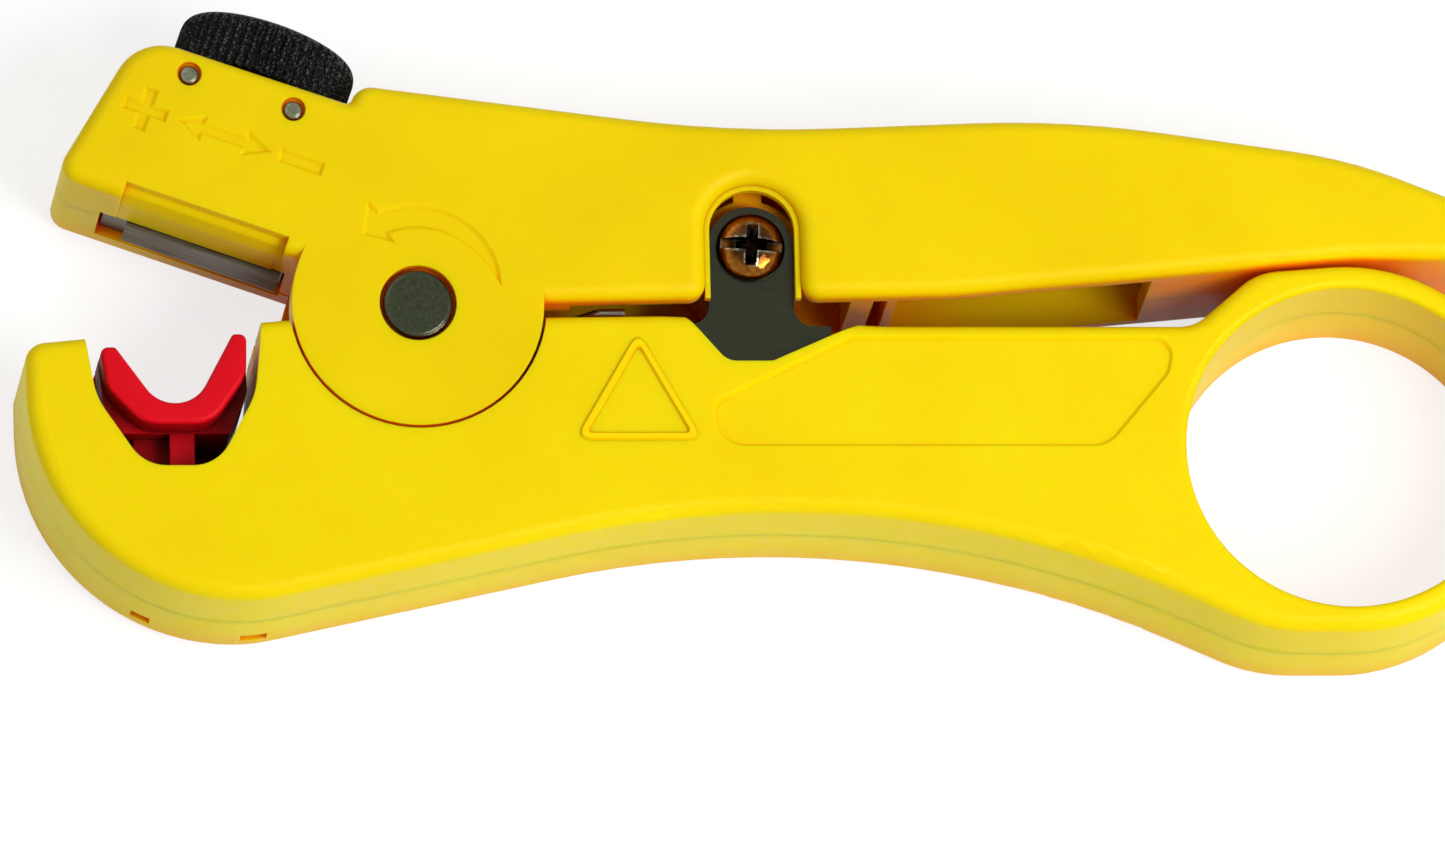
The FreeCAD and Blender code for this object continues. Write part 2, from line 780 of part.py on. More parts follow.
def cassette():
    """A V block with a thick front flange, a slot for the blade and a ribbed foot."""
    front = HALF - size("cassette_inset")
    flange_back = front - size("cassette_flange")
    block = flat_face(body_outline(), -front).extrude(Vector(0, 0, front + flange_back))
    flange = flat_face(FLANGE_OUTLINE, flange_back).extrude(
        Vector(0, 0, size("cassette_flange")))
    rims = [edge for edge in flange.Edges
            if all(abs(vertex.Z - front) < 1e-6 for vertex in edge.Vertexes)]
    flange = flange.makeFillet(size("cassette_round"), rims)
    slot_low = size("blade_back") - size("blade_slot")
    slot_high = size("blade_back") + size("blade_thickness") + size("blade_slot")
    slot = Part.makeBox(30, 20, slot_high - slot_low, Vector(-36, -9.8, slot_low))
    hollow = Part.makeBox(30, 6, 20, Vector(-36, -16.6, -2.0))
    rib = Part.makeBox(2.1, 3.6, flange_back + 3.0, Vector(-21.15, -14.05, -3.0))
    web = Part.makeBox(3.0, 3.2, flange_back + 1.0, Vector(-24.1, -13.7, -3.0))
    keep = flat_face(body_outline(), -front).extrude(Vector(0, 0, 2 * front))
    ribs = rib.fuse(web).common(keep)
    solid = block.cut(hollow).cut(slot).multiFuse([flange, ribs]).removeSplitter()
    piece = doc.addObject("Part::Feature", "v_cassette")
    piece.Label = "v_cassette"
    piece.Shape = solid
    piece.Placement = Placement(PIVOT_PLACE, Rotation())
    PARTS.append(piece)


# The wire cutter on the upper handle

def cutter_blade():
    body = new_body("cutter_blade")
    x = size("cutter_x")
    y = size("cutter_y")
    half = size("cutter_top_radius")
    left = x - size("cutter_flare_left")
    right = x + size("cutter_flare_right")
    foot = y - size("cutter_foot")
    low = "half_thickness - cutter_recess - cutter_thickness"
    high = "half_thickness - cutter_recess"
    pad(body, "plate", [
        (x - half, y + half, half - 0.02),
        (x - half, -0.6, 1.6),
        (left, -1.3, 0.0),
        (left, foot + 1.6, 0.3),
        (left + 2.8, foot, 0.5),
        (right - 2.6, foot, 0.5),
        (right, foot + 2.4, 0.3),
        (right, -1.3, 0.0),
        (x + half, -1.2, 1.6),
        (x + half, y + half, half - 0.02),
    ], low, high, 1)
    round_pocket(body, "screw_hole", x, y, "screw_radius + 0.1", low, high, 1)


def cutter_screw():
    body = new_body("cutter_screw")
    x = size("cutter_x")
    y = size("cutter_y")
    seat = "half_thickness - cutter_recess"
    end = "0 - (half_thickness - nut_recess - 0.1)"
    round_pad(body, "shank", x, y, "screw_radius", end, seat, 1)
    top = "half_thickness - cutter_recess + screw_head_height"
    head = round_pad(body, "head", x, y, "screw_head_radius", seat, top, 1)
    level = HALF - size("cutter_recess") + size("screw_head_height")
    round_edges(body, "head_crown", head, level, "screw_head_height * 0.55")
    drive = "half_thickness - cutter_recess + screw_head_height * 0.4"
    for label, turn in (("slot", 8.0), ("cross", 98.0)):
        frame = Placement(Vector(x, y, 0), Rotation(Vector(0, 0, 1), turn))
        pocket(body, label, box_corners(-2.1, -0.4, 2.1, 0.4), drive, top, 1, frame)


def cutter_nut():
    body = new_body("cutter_nut")
    low = "half_thickness - nut_height - nut_recess"
    high = "half_thickness - nut_recess"
    pad(body, "hexagon", hexagon(size("nut_across") / 2), low, high, -1)
    round_pocket(body, "thread_hole", size("cutter_x"), size("cutter_y"),
                 "screw_radius", low, high, -1)


pivot_pin()
pivot_cap()
torsion_spring()
cassette()
cutter_blade()
cutter_screw()
cutter_nut()


# The depth adjuster. These bodies stand in the head's own frame: X along its top edge,
# Y out of it along the knob's axis.


def turned(body, name, corners, kind="Revolution"):
    """A turned form from half its profile, with the axis along Y."""
    profile = draw(new_sketch(body, name + "_profile"), corners)
    feature = body.newObject("PartDesign::" + kind, name)
    feature.Profile = profile
    feature.ReferenceAxis = (profile, ["V_Axis"])
    feature.Angle = 360.0
    return feature


def depth_knob():
    """A ribbed cap with a socket for the screw's head."""
    body = new_body("depth_knob", in_head=True)
    foot = size("knob_gap")
    top = foot + size("knob_height")
    radius = size("knob_radius")
    socket = foot + size("stem_in_knob")
    turned(body, "cap", [
        (size("stem_radius"), foot, 0.0),
        (radius, foot, 0.0),
        (radius, top - size("knob_round"), 0.0),
        (radius - size("knob_round") * 0.4, top - size("knob_round") * 0.45, 0.0),
        (radius - size("knob_round") * 1.5, top, 0.0),
        (0.0, top, 0.0),
        (0.0, socket, 0.0),
        (size("stem_radius"), socket, 0.0),
    ])
    sketch = new_sketch(body, "valley_circle", "XZ_Plane")
    pitch = 2 * math.pi * radius / size("knob_ridges")
    valley = pitch * 0.42
    sketch.addGeometry(Part.Circle(
        Vector(radius + valley - size("ridge_depth"), 0, 0), Vector(0, 0, 1), valley), False)
    groove = body.newObject("PartDesign::Pocket", "valley")
    groove.Profile = sketch
    groove.Length = 2 * (top + 1.0)
    groove.Midplane = True
    doc.recompute()
    pattern = body.newObject("PartDesign::PolarPattern", "ridges")
    pattern.Originals = [groove]
    pattern.Axis = (origin_plane(body, "Y_Axis"), [""])
    pattern.Angle = 360.0
    pattern.Occurrences = int(size("knob_ridges"))
    body.Tip = pattern


def adjuster_screw():
    body = new_body("adjuster_screw", in_head=True)
    stem = size("stem_radius")
    thread = size("thread_radius")
    top = size("knob_gap") + size("stem_in_knob")
    end = BLADE_TOP + size("thread_end_gap")
    turned(body, "spindle", [
        (0.0, end, 0.0),
        (thread, end, 0.3),
        (thread, FLANGE_BOTTOM, 0.0),
        (size("flange_radius"), FLANGE_BOTTOM, 0.0),
        (size("flange_radius"), FLANGE_TOP, 0.0),
        (stem, FLANGE_TOP, 0.0),
        (stem, top, 0.0),
        (0.0, top, 0.0),
    ])


def head_pin(name, across):
    body = new_body(name, in_head=True)
    recess = "half_thickness - 0.3"
    pin = round_pad(body, "pin", across, -size("head_pin_depth"), "head_pin_radius",
                    "0 - (%s)" % recess, recess, 1)
    round_edges(body, "rounded_end", pin, HALF - 0.3, "head_pin_radius / 4")


def blade_carriage():
    """The slide that the screw moves, with a tongue at its foot to seat the blade."""
    body = new_body("blade_carriage", in_head=True)
    left = -size("carriage_left")
    right = size("carriage_right")
    room = "cavity_half_width - 0.3"
    upper = box_corners(left, TONGUE_TOP, right, CARRIAGE_TOP)
    pad(body, "block", upper, "0 - (%s)" % room, room, 1)
    tongue = box_corners(left, CARRIAGE_FOOT, right, TONGUE_TOP)
    pad(body, "tongue", tongue, "0 - blade_back", room, -1)
    pad(body, "seat", tongue, "0", "blade_back", 1)
    turned(body, "thread_hole", [
        (0.0, BLADE_TOP - 0.1, 0.0),
        (size("thread_radius") + 0.05, BLADE_TOP - 0.1, 0.0),
        (size("thread_radius") + 0.05, 0.0, 0.0),
        (0.0, 0.0, 0.0),
    ], "Groove")
    for label, across in (("left", -1), ("right", 1)):
        round_pocket(body, "pin_hole_" + label, across * size("blade_pin_offset"), PIN_LINE,
                     "blade_pin_radius", "0 - blade_back",
                     "blade_pin_length - blade_thickness - blade_back", -1)


def strip_blade():
    """A straight blade with its edge ground from the front."""
    body = new_body("strip_blade", in_head=True)
    high = "blade_back + blade_thickness"
    plate = box_corners(-size("blade_left"), BLADE_EDGE,
                        size("blade_right"), BLADE_EDGE + size("blade_height"))
    pad(body, "plate", plate, "blade_back", high, 1)
    for label, across in (("left", -1), ("right", 1)):
        round_pocket(body, "pin_hole_" + label, across * size("blade_pin_offset"), PIN_LINE,
                     "blade_pin_radius", "blade_back", high, 1)
    grind = new_sketch(body, "grind_profile", "YZ_Plane")
    front = BLADE_BACK + size("blade_thickness")
    draw(grind, [
        (BLADE_EDGE - 0.5, BLADE_BACK + 0.08, 0.0),
        (BLADE_EDGE, BLADE_BACK + 0.08, 0.0),
        (BLADE_EDGE + size("blade_bevel"), front, 0.0),
        (BLADE_EDGE - 0.5, front + 0.5, 0.0),
    ])
    bevel = body.newObject("PartDesign::Pocket", "bevel")
    bevel.Profile = grind
    bevel.Length = 40.0
    bevel.Midplane = True


def blade_pin(name, side):
    body = new_body(name, in_head=True)
    high = "blade_back + blade_thickness"
    round_pad(body, "pin", side * size("blade_pin_offset"), PIN_LINE, "blade_pin_radius",
              high + " - blade_pin_length", high, 1)


def carriage_spring():
    """A short coil between the flange and the carriage, drawn at its fitted height."""
    wire = size("play_spring_wire") / 2
    top = FLANGE_BOTTOM - wire - 0.05
    bottom = CARRIAGE_TOP + size("carriage_travel") + wire + 0.1
    coil = helix_points(size("play_spring_radius"), top - bottom, size("play_spring_turns"))
    upright = Placement(Vector(0, (top + bottom) / 2, 0), Rotation(Vector(1, 0, 0), -90))
    spring = doc.addObject("Part::Feature", "carriage_spring")
    spring.Label = "carriage_spring"
    spring.Shape = bent_wire(coil, wire)
    in_head_place = Placement(PIVOT_PLACE, Rotation()).multiply(HEAD_FRAME)
    spring.Placement = in_head_place.multiply(upright)
    PARTS.append(spring)


depth_knob()
adjuster_screw()
head_pin("head_pin_left", -size("head_pin_left"))
head_pin("head_pin_right", size("head_pin_right"))
blade_carriage()
strip_blade()
blade_pin("blade_pin_left", -1)
blade_pin("blade_pin_right", 1)
carriage_spring()


# Check every object, then write the pieces

def check_and_write():
    doc.recompute()
    for thing in doc.Objects:
        if "Invalid" in thing.State or "Error" in thing.State:
            raise RuntimeError("failed: %s %s" % (thing.Label, thing.State))
    os.makedirs("parts", exist_ok=True)
    for part in PARTS:
        shape = part.Shape
        if shape.isNull() or not shape.isValid():
            raise RuntimeError("not a valid solid: " + part.Label)
        shape.exportStep("parts/%s.step" % part.Label)
        print(part.Label, len(shape.Solids), round(shape.Volume, 1), len(shape.Faces))


check_and_write()
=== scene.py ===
"""Looks of the wire stripper pliers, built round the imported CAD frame. Lengths are in metres."""

import math

import bmesh
import bpy
from mathutils import Matrix, Vector
from mathutils.bvhtree import BVHTree
from mathutils.geometry import barycentric_transform


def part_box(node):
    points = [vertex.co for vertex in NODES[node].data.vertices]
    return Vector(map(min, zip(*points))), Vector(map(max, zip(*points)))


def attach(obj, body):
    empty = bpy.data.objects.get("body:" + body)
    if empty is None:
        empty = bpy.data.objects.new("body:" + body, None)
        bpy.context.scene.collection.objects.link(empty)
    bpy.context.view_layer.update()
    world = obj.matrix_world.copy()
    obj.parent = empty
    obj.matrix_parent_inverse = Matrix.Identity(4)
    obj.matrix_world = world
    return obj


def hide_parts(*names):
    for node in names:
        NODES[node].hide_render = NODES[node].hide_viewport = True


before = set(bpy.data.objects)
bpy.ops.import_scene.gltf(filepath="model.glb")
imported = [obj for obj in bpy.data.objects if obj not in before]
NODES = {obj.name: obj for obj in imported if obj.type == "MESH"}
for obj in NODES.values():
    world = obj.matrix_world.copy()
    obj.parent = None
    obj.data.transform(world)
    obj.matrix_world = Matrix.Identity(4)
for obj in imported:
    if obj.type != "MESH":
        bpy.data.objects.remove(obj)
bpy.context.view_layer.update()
MM = 0.001
PER_METRE = 1000.0
FLOOR_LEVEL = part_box("lower_back_shell")[0].z
FRONT_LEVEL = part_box("lower_front_shell")[1].z
HEAD_TILT = math.radians(-19.5)


def middle_of(node):
    return sum(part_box(node), Vector()) / 2


PIVOT = middle_of("pivot_pin")
PIVOT.z = 0.0


# The camera looks down on the object as it lies, from a little below and to the left

VIEW_TARGET = Vector((-53.67, 2.05, 8.5)) * MM
VIEW_BACKWARD = Vector((-0.0926, -0.2577, 0.9618))
VIEW_UP = Vector((0.0, 0.9659, 0.2588))
FRAME_WIDTH = 122.85 * MM
LENS_MM = 900.0
SENSOR_MM = 36.0
NEAREST_SEEN = 0.01
FARTHEST_SEEN = 20.0


def make_camera():
    data = bpy.data.cameras.new("camera")
    data.lens = LENS_MM
    data.sensor_width = SENSOR_MM
    data.sensor_fit = "HORIZONTAL"
    data.clip_start = NEAREST_SEEN
    data.clip_end = FARTHEST_SEEN
    camera = bpy.data.objects.new("camera", data)
    backward = VIEW_BACKWARD.normalized()
    right = VIEW_UP.cross(backward).normalized()
    up = backward.cross(right)
    place = Matrix((right, up, backward)).transposed().to_4x4()
    place.translation = VIEW_TARGET + backward * (FRAME_WIDTH * LENS_MM / SENSOR_MM)
    camera.matrix_world = place
    bpy.context.scene.collection.objects.link(camera)
    bpy.context.scene.camera = camera


# Node helpers, with texture coordinates in millimetres

def srgb(red, green, blue):
    """A display colour in 0 to 255 as a linear colour with alpha."""
    def linear(value):
        part = value / 255
        return part / 12.92 if part <= 0.04045 else ((part + 0.055) / 1.055) ** 2.4
    return (linear(red), linear(green), linear(blue), 1.0)


WORN_EDGE = 0.4
RAY_SAMPLES = 4
# The cosine between the rounded normal and the plain one, at an edge and on a flat face
EDGE_TURN = (0.82, 0.97)
# The part of a noise's range that holds most of its values
MOST_NOISE = (0.3, 0.7)

# The colour sockets of the Mix node, which share their names with its other kinds
MIX_SHARE = 0
MIX_FIRST = 6
MIX_SECOND = 7
MIX_RESULT = 2


class Shader:
    """A material being built: nodes are added by type and wired by socket name."""

    def __init__(self, name):
        self.material = bpy.data.materials.new(name)
        self.material.use_nodes = True
        self.tree = self.material.node_tree
        self.surface = self.tree.nodes["Principled BSDF"]
        position = self.add("ShaderNodeTexCoord")
        self.place = self.add("ShaderNodeMapping")
        self.place.inputs["Scale"].default_value = (PER_METRE, PER_METRE, PER_METRE)
        self.wire(position.outputs["Object"], self.place.inputs["Vector"])
        self.place = self.place.outputs["Vector"]

    def add(self, kind, **settings):
        node = self.tree.nodes.new(kind)
        for name, value in settings.items():
            setattr(node, name, value)
        return node

    def wire(self, source, target):
        self.tree.links.new(source, target)

    def value(self, socket, number):
        self.surface.inputs[socket].default_value = number

    def turned_place(self, angle=(0.0, 0.0, 0.0), scale=(1.0, 1.0, 1.0), origin=Vector()):
        """The coordinates about an origin, turned, then stretched along each axis."""
        shift = self.add("ShaderNodeVectorMath", operation="SUBTRACT")
        shift.inputs[1].default_value = origin / MM
        self.wire(self.place, shift.inputs[0])
        turn = self.add("ShaderNodeMapping", vector_type="POINT")
        turn.inputs["Rotation"].default_value = angle
        self.wire(shift.outputs["Vector"], turn.inputs["Vector"])
        stretch = self.add("ShaderNodeVectorMath", operation="MULTIPLY")
        stretch.inputs[1].default_value = scale
        self.wire(turn.outputs["Vector"], stretch.inputs[0])
        return stretch.outputs["Vector"]

    def away_from(self, axis):
        """The distance in millimetres from an upright axis."""
        node = self.add("ShaderNodeVectorMath", operation="LENGTH")
        self.wire(self.turned_place(scale=(1.0, 1.0, 0.0), origin=axis), node.inputs[0])
        return node.outputs["Value"]

    def noise(self, per_mm, detail=3.0, roughness=0.5, place=None):
        node = self.add("ShaderNodeTexNoise")
        node.inputs["Scale"].default_value = per_mm
        node.inputs["Detail"].default_value = detail
        node.inputs["Roughness"].default_value = roughness
        self.wire(place or self.place, node.inputs["Vector"])
        return node.outputs["Fac"]

    def ramp(self, source, stops):
        """Maps a value through (position, colour) stops."""
        node = self.add("ShaderNodeValToRGB")
        elements = node.color_ramp.elements
        while len(elements) < len(stops):
            elements.new(0.5)
        for element, (position, colour) in zip(elements, stops):
            element.position = position
            element.color = colour
        self.wire(source, node.inputs["Fac"])
        return node.outputs["Color"]

    def between(self, source, low_colour, high_colour, ends=MOST_NOISE):
        """A colour that goes from one to another with a noise's value."""
        return self.ramp(source, list(zip(ends, (low_colour, high_colour))))

    def span(self, source, low, high, low_to, high_to):
        node = self.add("ShaderNodeMapRange")
        for socket, number in zip(("From Min", "From Max", "To Min", "To Max"),
                                  (low, high, low_to, high_to)):
            node.inputs[socket].default_value = number
        self.wire(source, node.inputs["Value"])
        return node.outputs["Result"]

    def near_middle(self, half_width):
        """One at the plane where the two half shells meet, falling to nothing beside it."""
        axes = self.add("ShaderNodeSeparateXYZ")
        self.wire(self.place, axes.inputs["Vector"])
        away = self.add("ShaderNodeMath", operation="ABSOLUTE")
        self.wire(axes.outputs["Z"], away.inputs[0])
        return self.span(away.outputs["Value"], half_width * 0.5, half_width, 1.0, 0.0)

    def worn_edges(self):
        """Relief that turns sharp edges into narrow rounded rims."""
        node = self.add("ShaderNodeBevel", samples=RAY_SAMPLES)
        node.inputs["Radius"].default_value = WORN_EDGE * MM
        return node.outputs["Normal"]

    def painted_edge_highlight(self):
        """One along sharp edges, where a highlight is painted on the metal, else nothing."""
        plain = self.add("ShaderNodeNewGeometry")
        turn = self.add("ShaderNodeVectorMath", operation="DOT_PRODUCT")
        self.wire(self.worn_edges(), turn.inputs[0])
        self.wire(plain.outputs["Normal"], turn.inputs[1])
        return self.span(turn.outputs["Value"], *EDGE_TURN, 1.0, 0.0)

    def openness(self, reach_mm):
        """One on an open face, falling where nearby surfaces close it in."""
        node = self.add("ShaderNodeAmbientOcclusion", samples=RAY_SAMPLES)
        node.inputs["Distance"].default_value = reach_mm * MM
        return node.outputs["AO"]

    def mixed(self, kind, first):
        """A colour Mix node of a kind, with its first colour wired."""
        node = self.add("ShaderNodeMix", data_type="RGBA", blend_type=kind)
        self.wire(first, node.inputs[MIX_FIRST])
        return node

    def multiplied(self, first, second):
        node = self.mixed("MULTIPLY", first)
        node.inputs[MIX_SHARE].default_value = 1.0
        self.wire(second, node.inputs[MIX_SECOND])
        return node.outputs[MIX_RESULT]

    def with_painted_shade(self, colour, stops, reach_mm):
        """A colour multiplied by painted shade tones, deeper where nearby surfaces close it in."""
        return self.multiplied(colour, self.ramp(self.openness(reach_mm), stops))

    def blend(self, first, second_colour, share):
        node = self.mixed("MIX", first)
        self.wire(share, node.inputs[MIX_SHARE])
        node.inputs[MIX_SECOND].default_value = second_colour
        return node.outputs[MIX_RESULT]

    def product(self, first, second):
        node = self.add("ShaderNodeMath", operation="MULTIPLY")
        self.wire(first, node.inputs[0])
        self.wire(second, node.inputs[1])
        return node.outputs["Value"]

    def bump(self, height, depth_mm, under=None):
        """Relief of a real depth, on top of another relief if there is one."""
        node = self.add("ShaderNodeBump")
        node.inputs["Strength"].default_value = 1.0
        node.inputs["Distance"].default_value = depth_mm * MM
        self.wire(height, node.inputs["Height"])
        if under is not None:
            self.wire(under, node.inputs["Normal"])
        return node.outputs["Normal"]

    def colour(self, source):
        self.wire(source, self.surface.inputs["Base Color"])

    def roughness(self, source):
        self.wire(source, self.surface.inputs["Roughness"])

    def gloss_about(self, source, gloss, less, more):
        """Roughness about a level, that goes a little under and over it with a noise's value."""
        self.roughness(self.span(source, *MOST_NOISE, gloss - less, gloss + more))

    def normal(self, source):
        self.wire(source, self.surface.inputs["Normal"])


PLAIN = srgb(255, 255, 255)

PLASTIC_TONE_PER_MM = 0.09
PLASTIC_SHINE_PER_MM = 0.5
PLASTIC_MIRROR = 0.08
GRAIN_PER_MM = 4.5
WAVES_PER_MM = 0.12
WAVE_DEPTH = 0.05
SCATTER = 0.8
SCATTER_RADIUS = (1.4 * MM, 0.7 * MM, 0.1 * MM)
SEAM_HALF_WIDTH = 0.07
SEAM_DEPTH = 0.012
SEAM_SHADE = srgb(244, 208, 0)
# Reaches in millimetres of the painted shade in crevices and in hollows
CREVICE_SHADE_REACH = 1.6
HOLLOW_SHADE_REACH = 12.0
# Painted shade: tones that multiply the yellow where crevices close it in
YELLOW_CREVICE_SHADE = [(0.1, srgb(255, 205, 140)), (0.42, srgb(255, 195, 120)), (0.75, PLAIN)]
# Painted orange shade in the hollows between parts
YELLOW_HOLLOW_SHADE = [
    (0.08, srgb(255, 200, 120)),
    (0.3, srgb(255, 135, 55)),
    (0.4, srgb(255, 130, 52)),
    (0.47, srgb(255, 215, 160)),
    (0.53, PLAIN),
]
RED_SHADE = srgb(228, 12, 34)
RED_DEEP = srgb(214, 6, 26)
# Painted shade in the red's crevices
RED_CREVICE_SHADE = [(0.2, srgb(120, 90, 90)), (0.8, PLAIN)]
# Painted shade in the red's hollows
RED_HOLLOW_SHADE = [(0.1, srgb(130, 60, 60)), (0.6, PLAIN)]


def moulded_plastic(name, shade, deep, seam_shade, gloss, grain_depth, crevice_shade_tones,
                    hollow_shade_tones, scatter=SCATTER):
    """Plastic from a spark-finished mould: fine grain, slow changes of tone, a parting line, and
    painted shade in its crevices and hollows.
    """
    shader = Shader(name)
    tone = shader.noise(PLASTIC_TONE_PER_MM, detail=2.0)
    seam = shader.near_middle(SEAM_HALF_WIDTH)
    lined = shader.blend(shader.between(tone, deep, shade), seam_shade, seam)
    # Painted shade, darker and more orange in crevices
    crevice_shaded = shader.with_painted_shade(lined, crevice_shade_tones, CREVICE_SHADE_REACH)
    # Painted orange shade in the hollows between parts
    shader.colour(shader.with_painted_shade(crevice_shaded, hollow_shade_tones, HOLLOW_SHADE_REACH))
    shine = shader.noise(PLASTIC_SHINE_PER_MM, detail=4.0)
    shader.gloss_about(shine, gloss, 0.04, 0.05)
    grain = shader.noise(GRAIN_PER_MM, detail=2.0, roughness=0.65)
    waves = shader.noise(WAVES_PER_MM, detail=1.0)
    relief = shader.bump(waves, WAVE_DEPTH)
    relief = shader.bump(seam, SEAM_DEPTH, relief)
    shader.normal(shader.bump(grain, grain_depth, relief))
    shader.value("Specular IOR Level", PLASTIC_MIRROR)
    shader.value("Subsurface Weight", scatter)
    shader.value("Subsurface Radius", SCATTER_RADIUS)
    shader.value("Subsurface Scale", 1.0)
    return shader.material


# Colour of the painted highlight along sharp metal edges
EDGE_HIGHLIGHT_TONE = srgb(196, 200, 184)
TARNISH_PER_MM = 3.0
TARNISH_ENDS = (0.3, 0.75)
WAVES_IN_RING = 0.3
RING_WOBBLE = 0.6


def turned_metal(name, shade, light, gloss, axis_place, ring_mm, ring_depth):
    """Metal turned on a lathe: fine rings about its axis, faint spots of tarnish and a painted
    highlight along its sharp edges.
    """
    shader = Shader(name)
    shader.value("Metallic", 1.0)
    tone = shader.noise(TARNISH_PER_MM, detail=4.0)
    face = shader.between(tone, shade, light, TARNISH_ENDS)
    # A painted highlight along the sharp edges
    shader.colour(shader.blend(face, EDGE_HIGHLIGHT_TONE, shader.painted_edge_highlight()))
    shine = shader.noise(TARNISH_PER_MM, detail=3.0)
    shader.gloss_about(shine, gloss, 0.05, 0.08)
    rings = shader.add("ShaderNodeTexWave", wave_type="RINGS", rings_direction="Z")
    rings.inputs["Scale"].default_value = WAVES_IN_RING / ring_mm
    rings.inputs["Distortion"].default_value = RING_WOBBLE
    rings.inputs["Detail"].default_value = 2.0
    angle, origin = axis_place
    shader.wire(shader.turned_place(angle=angle, origin=origin), rings.inputs["Vector"])
    shader.normal(shader.bump(rings.outputs["Fac"], ring_depth, shader.worn_edges()))
    return shader.material


SCREW_TONE_PER_MM = 2.5
SCREW_SHINE_PER_MM = 6.0
SCREW_DENTS_PER_MM = 3.0
SCREW_DENT_DEPTH = 0.012
# Painted shade in the recess: its darkest tone, and how far nearby surfaces bring it on
SCREW_RECESS_SHADE = srgb(14, 13, 11)
SCREW_RECESS_SHADE_REACH = 1.6
# Painted reflection of the yellow walls on the screw head: dark about the axis, warm towards the
# rim
SCREW_REFLECTION_RADIUS = 3.0
SCREW_REFLECTION_TONES = [
    (0.4, srgb(110, 92, 76)),
    (0.58, srgb(160, 108, 62)),
    (0.7, srgb(240, 176, 92)),
    (1.0, srgb(255, 205, 120)),
]
# Painted glints: how finely they break up along the edges, and how strong they are
GLINTS_PER_MM = 1.3
GLINT_ENDS = (0.44, 0.6)
GLINT_LEVELS = (0.1, 0.9)


def painted_wall_reflection(shader, plated, axis):
    """Painted shade about the axis, a painted warm reflection of the yellow walls at the rim, and
    painted glints along parts of the sharp edges.
    """
    outward = shader.span(shader.away_from(axis), 0.0, SCREW_REFLECTION_RADIUS, 0.0, 1.0)
    # Painted shade about the axis and a painted warm reflection at the rim
    reflected = shader.multiplied(plated, shader.ramp(outward, SCREW_REFLECTION_TONES))
    glint_patches = shader.span(shader.noise(GLINTS_PER_MM), *GLINT_ENDS, *GLINT_LEVELS)
    # Painted glints along parts of the sharp edges
    return shader.blend(reflected, EDGE_HIGHLIGHT_TONE, shader.product(shader.painted_edge_highlight(), glint_patches))


def screw_metal(name, shade, light, dark, gloss, axis=None):
    """Plated steel, bright where it is open and darkened by painted shade inside its recess."""
    shader = Shader(name)
    shader.value("Metallic", 1.0)
    tone = shader.noise(SCREW_TONE_PER_MM, detail=3.0)
    plated = shader.between(tone, shade, light)
    if axis is not None:
        plated = painted_wall_reflection(shader, plated, axis)
    # Painted shade inside the recess
    recess_shade = [(0.35, SCREW_RECESS_SHADE), (0.7, dark), (0.96, PLAIN)]
    shader.colour(shader.with_painted_shade(plated, recess_shade, SCREW_RECESS_SHADE_REACH))
    shine = shader.noise(SCREW_SHINE_PER_MM, detail=3.0)
    shader.gloss_about(shine, gloss, 0.04, 0.06)
    dents = shader.noise(SCREW_DENTS_PER_MM, detail=2.0)
    shader.normal(shader.bump(dents, SCREW_DENT_DEPTH))
    return shader.material


STREAKS_PER_MM = (0.25, 9.0, 9.0)


def brushed_metal(name, shade, light, gloss, spread, angle, streak_depth):
    """Rolled or ground metal: long fine streaks along one direction."""
    shader = Shader(name)
    shader.value("Metallic", 1.0)
    along = shader.turned_place(angle=angle, scale=STREAKS_PER_MM)
    streaks = shader.noise(1.0, detail=4.0, place=along)
    shader.colour(shader.between(streaks, shade, light))
    shader.gloss_about(streaks, gloss, spread, spread)
    shader.normal(shader.bump(streaks, streak_depth))
    return shader.material


# Painted glints: pale dots on the black plastic, their size and tones
SPARKLE_PER_MM = 5.0
KNOB_PAINTED_SPARKLE = [(0.52, srgb(10, 11, 12)), (0.76, srgb(100, 100, 96))]
# Painted shade in the valleys between the ridges, and its reach in millimetres
KNOB_VALLEY_SHADE = [(0.5, srgb(40, 40, 40)), (0.88, PLAIN)]
VALLEY_SHADE_REACH = 0.7
KNOB_ROUGHNESS = 0.4
KNOB_MIRROR = 0.06
KNOB_GRAIN_PER_MM = 7.0
KNOB_GRAIN_DEPTH = 0.03


def knob_plastic(name):
    """Matt black plastic with painted pale dots that stand in for glints, and painted shade in the
    valleys between its ridges.
    """
    shader = Shader(name)
    sparkle = shader.noise(SPARKLE_PER_MM, detail=1.0)
    # Pale dots painted as glints
    body = shader.ramp(sparkle, KNOB_PAINTED_SPARKLE)
    # Painted shade in the valleys
    shader.colour(shader.with_painted_shade(body, KNOB_VALLEY_SHADE, VALLEY_SHADE_REACH))
    shader.value("Roughness", KNOB_ROUGHNESS)
    shader.value("Specular IOR Level", KNOB_MIRROR)
    grain = shader.noise(KNOB_GRAIN_PER_MM, detail=3.0, roughness=0.7)
    shader.normal(shader.bump(grain, KNOB_GRAIN_DEPTH))
    return shader.material


PLATE_STREAKS_TURN = math.radians(8)


def yellow_plastic(name, shade, deep, **more):
    return moulded_plastic(name, shade, deep, seam_shade=SEAM_SHADE,
                           crevice_shade_tones=YELLOW_CREVICE_SHADE, hollow_shade_tones=YELLOW_HOLLOW_SHADE, **more)


def nickel_plate(name, axis=None):
    # The warm brown of these colours is a painted reflection of the yellow plastic around the
    # metal; the darkest is painted shade in its recess
    return screw_metal(name, srgb(116, 96, 66), srgb(160, 140, 106), srgb(52, 44, 32),
                       gloss=0.1, axis=axis)


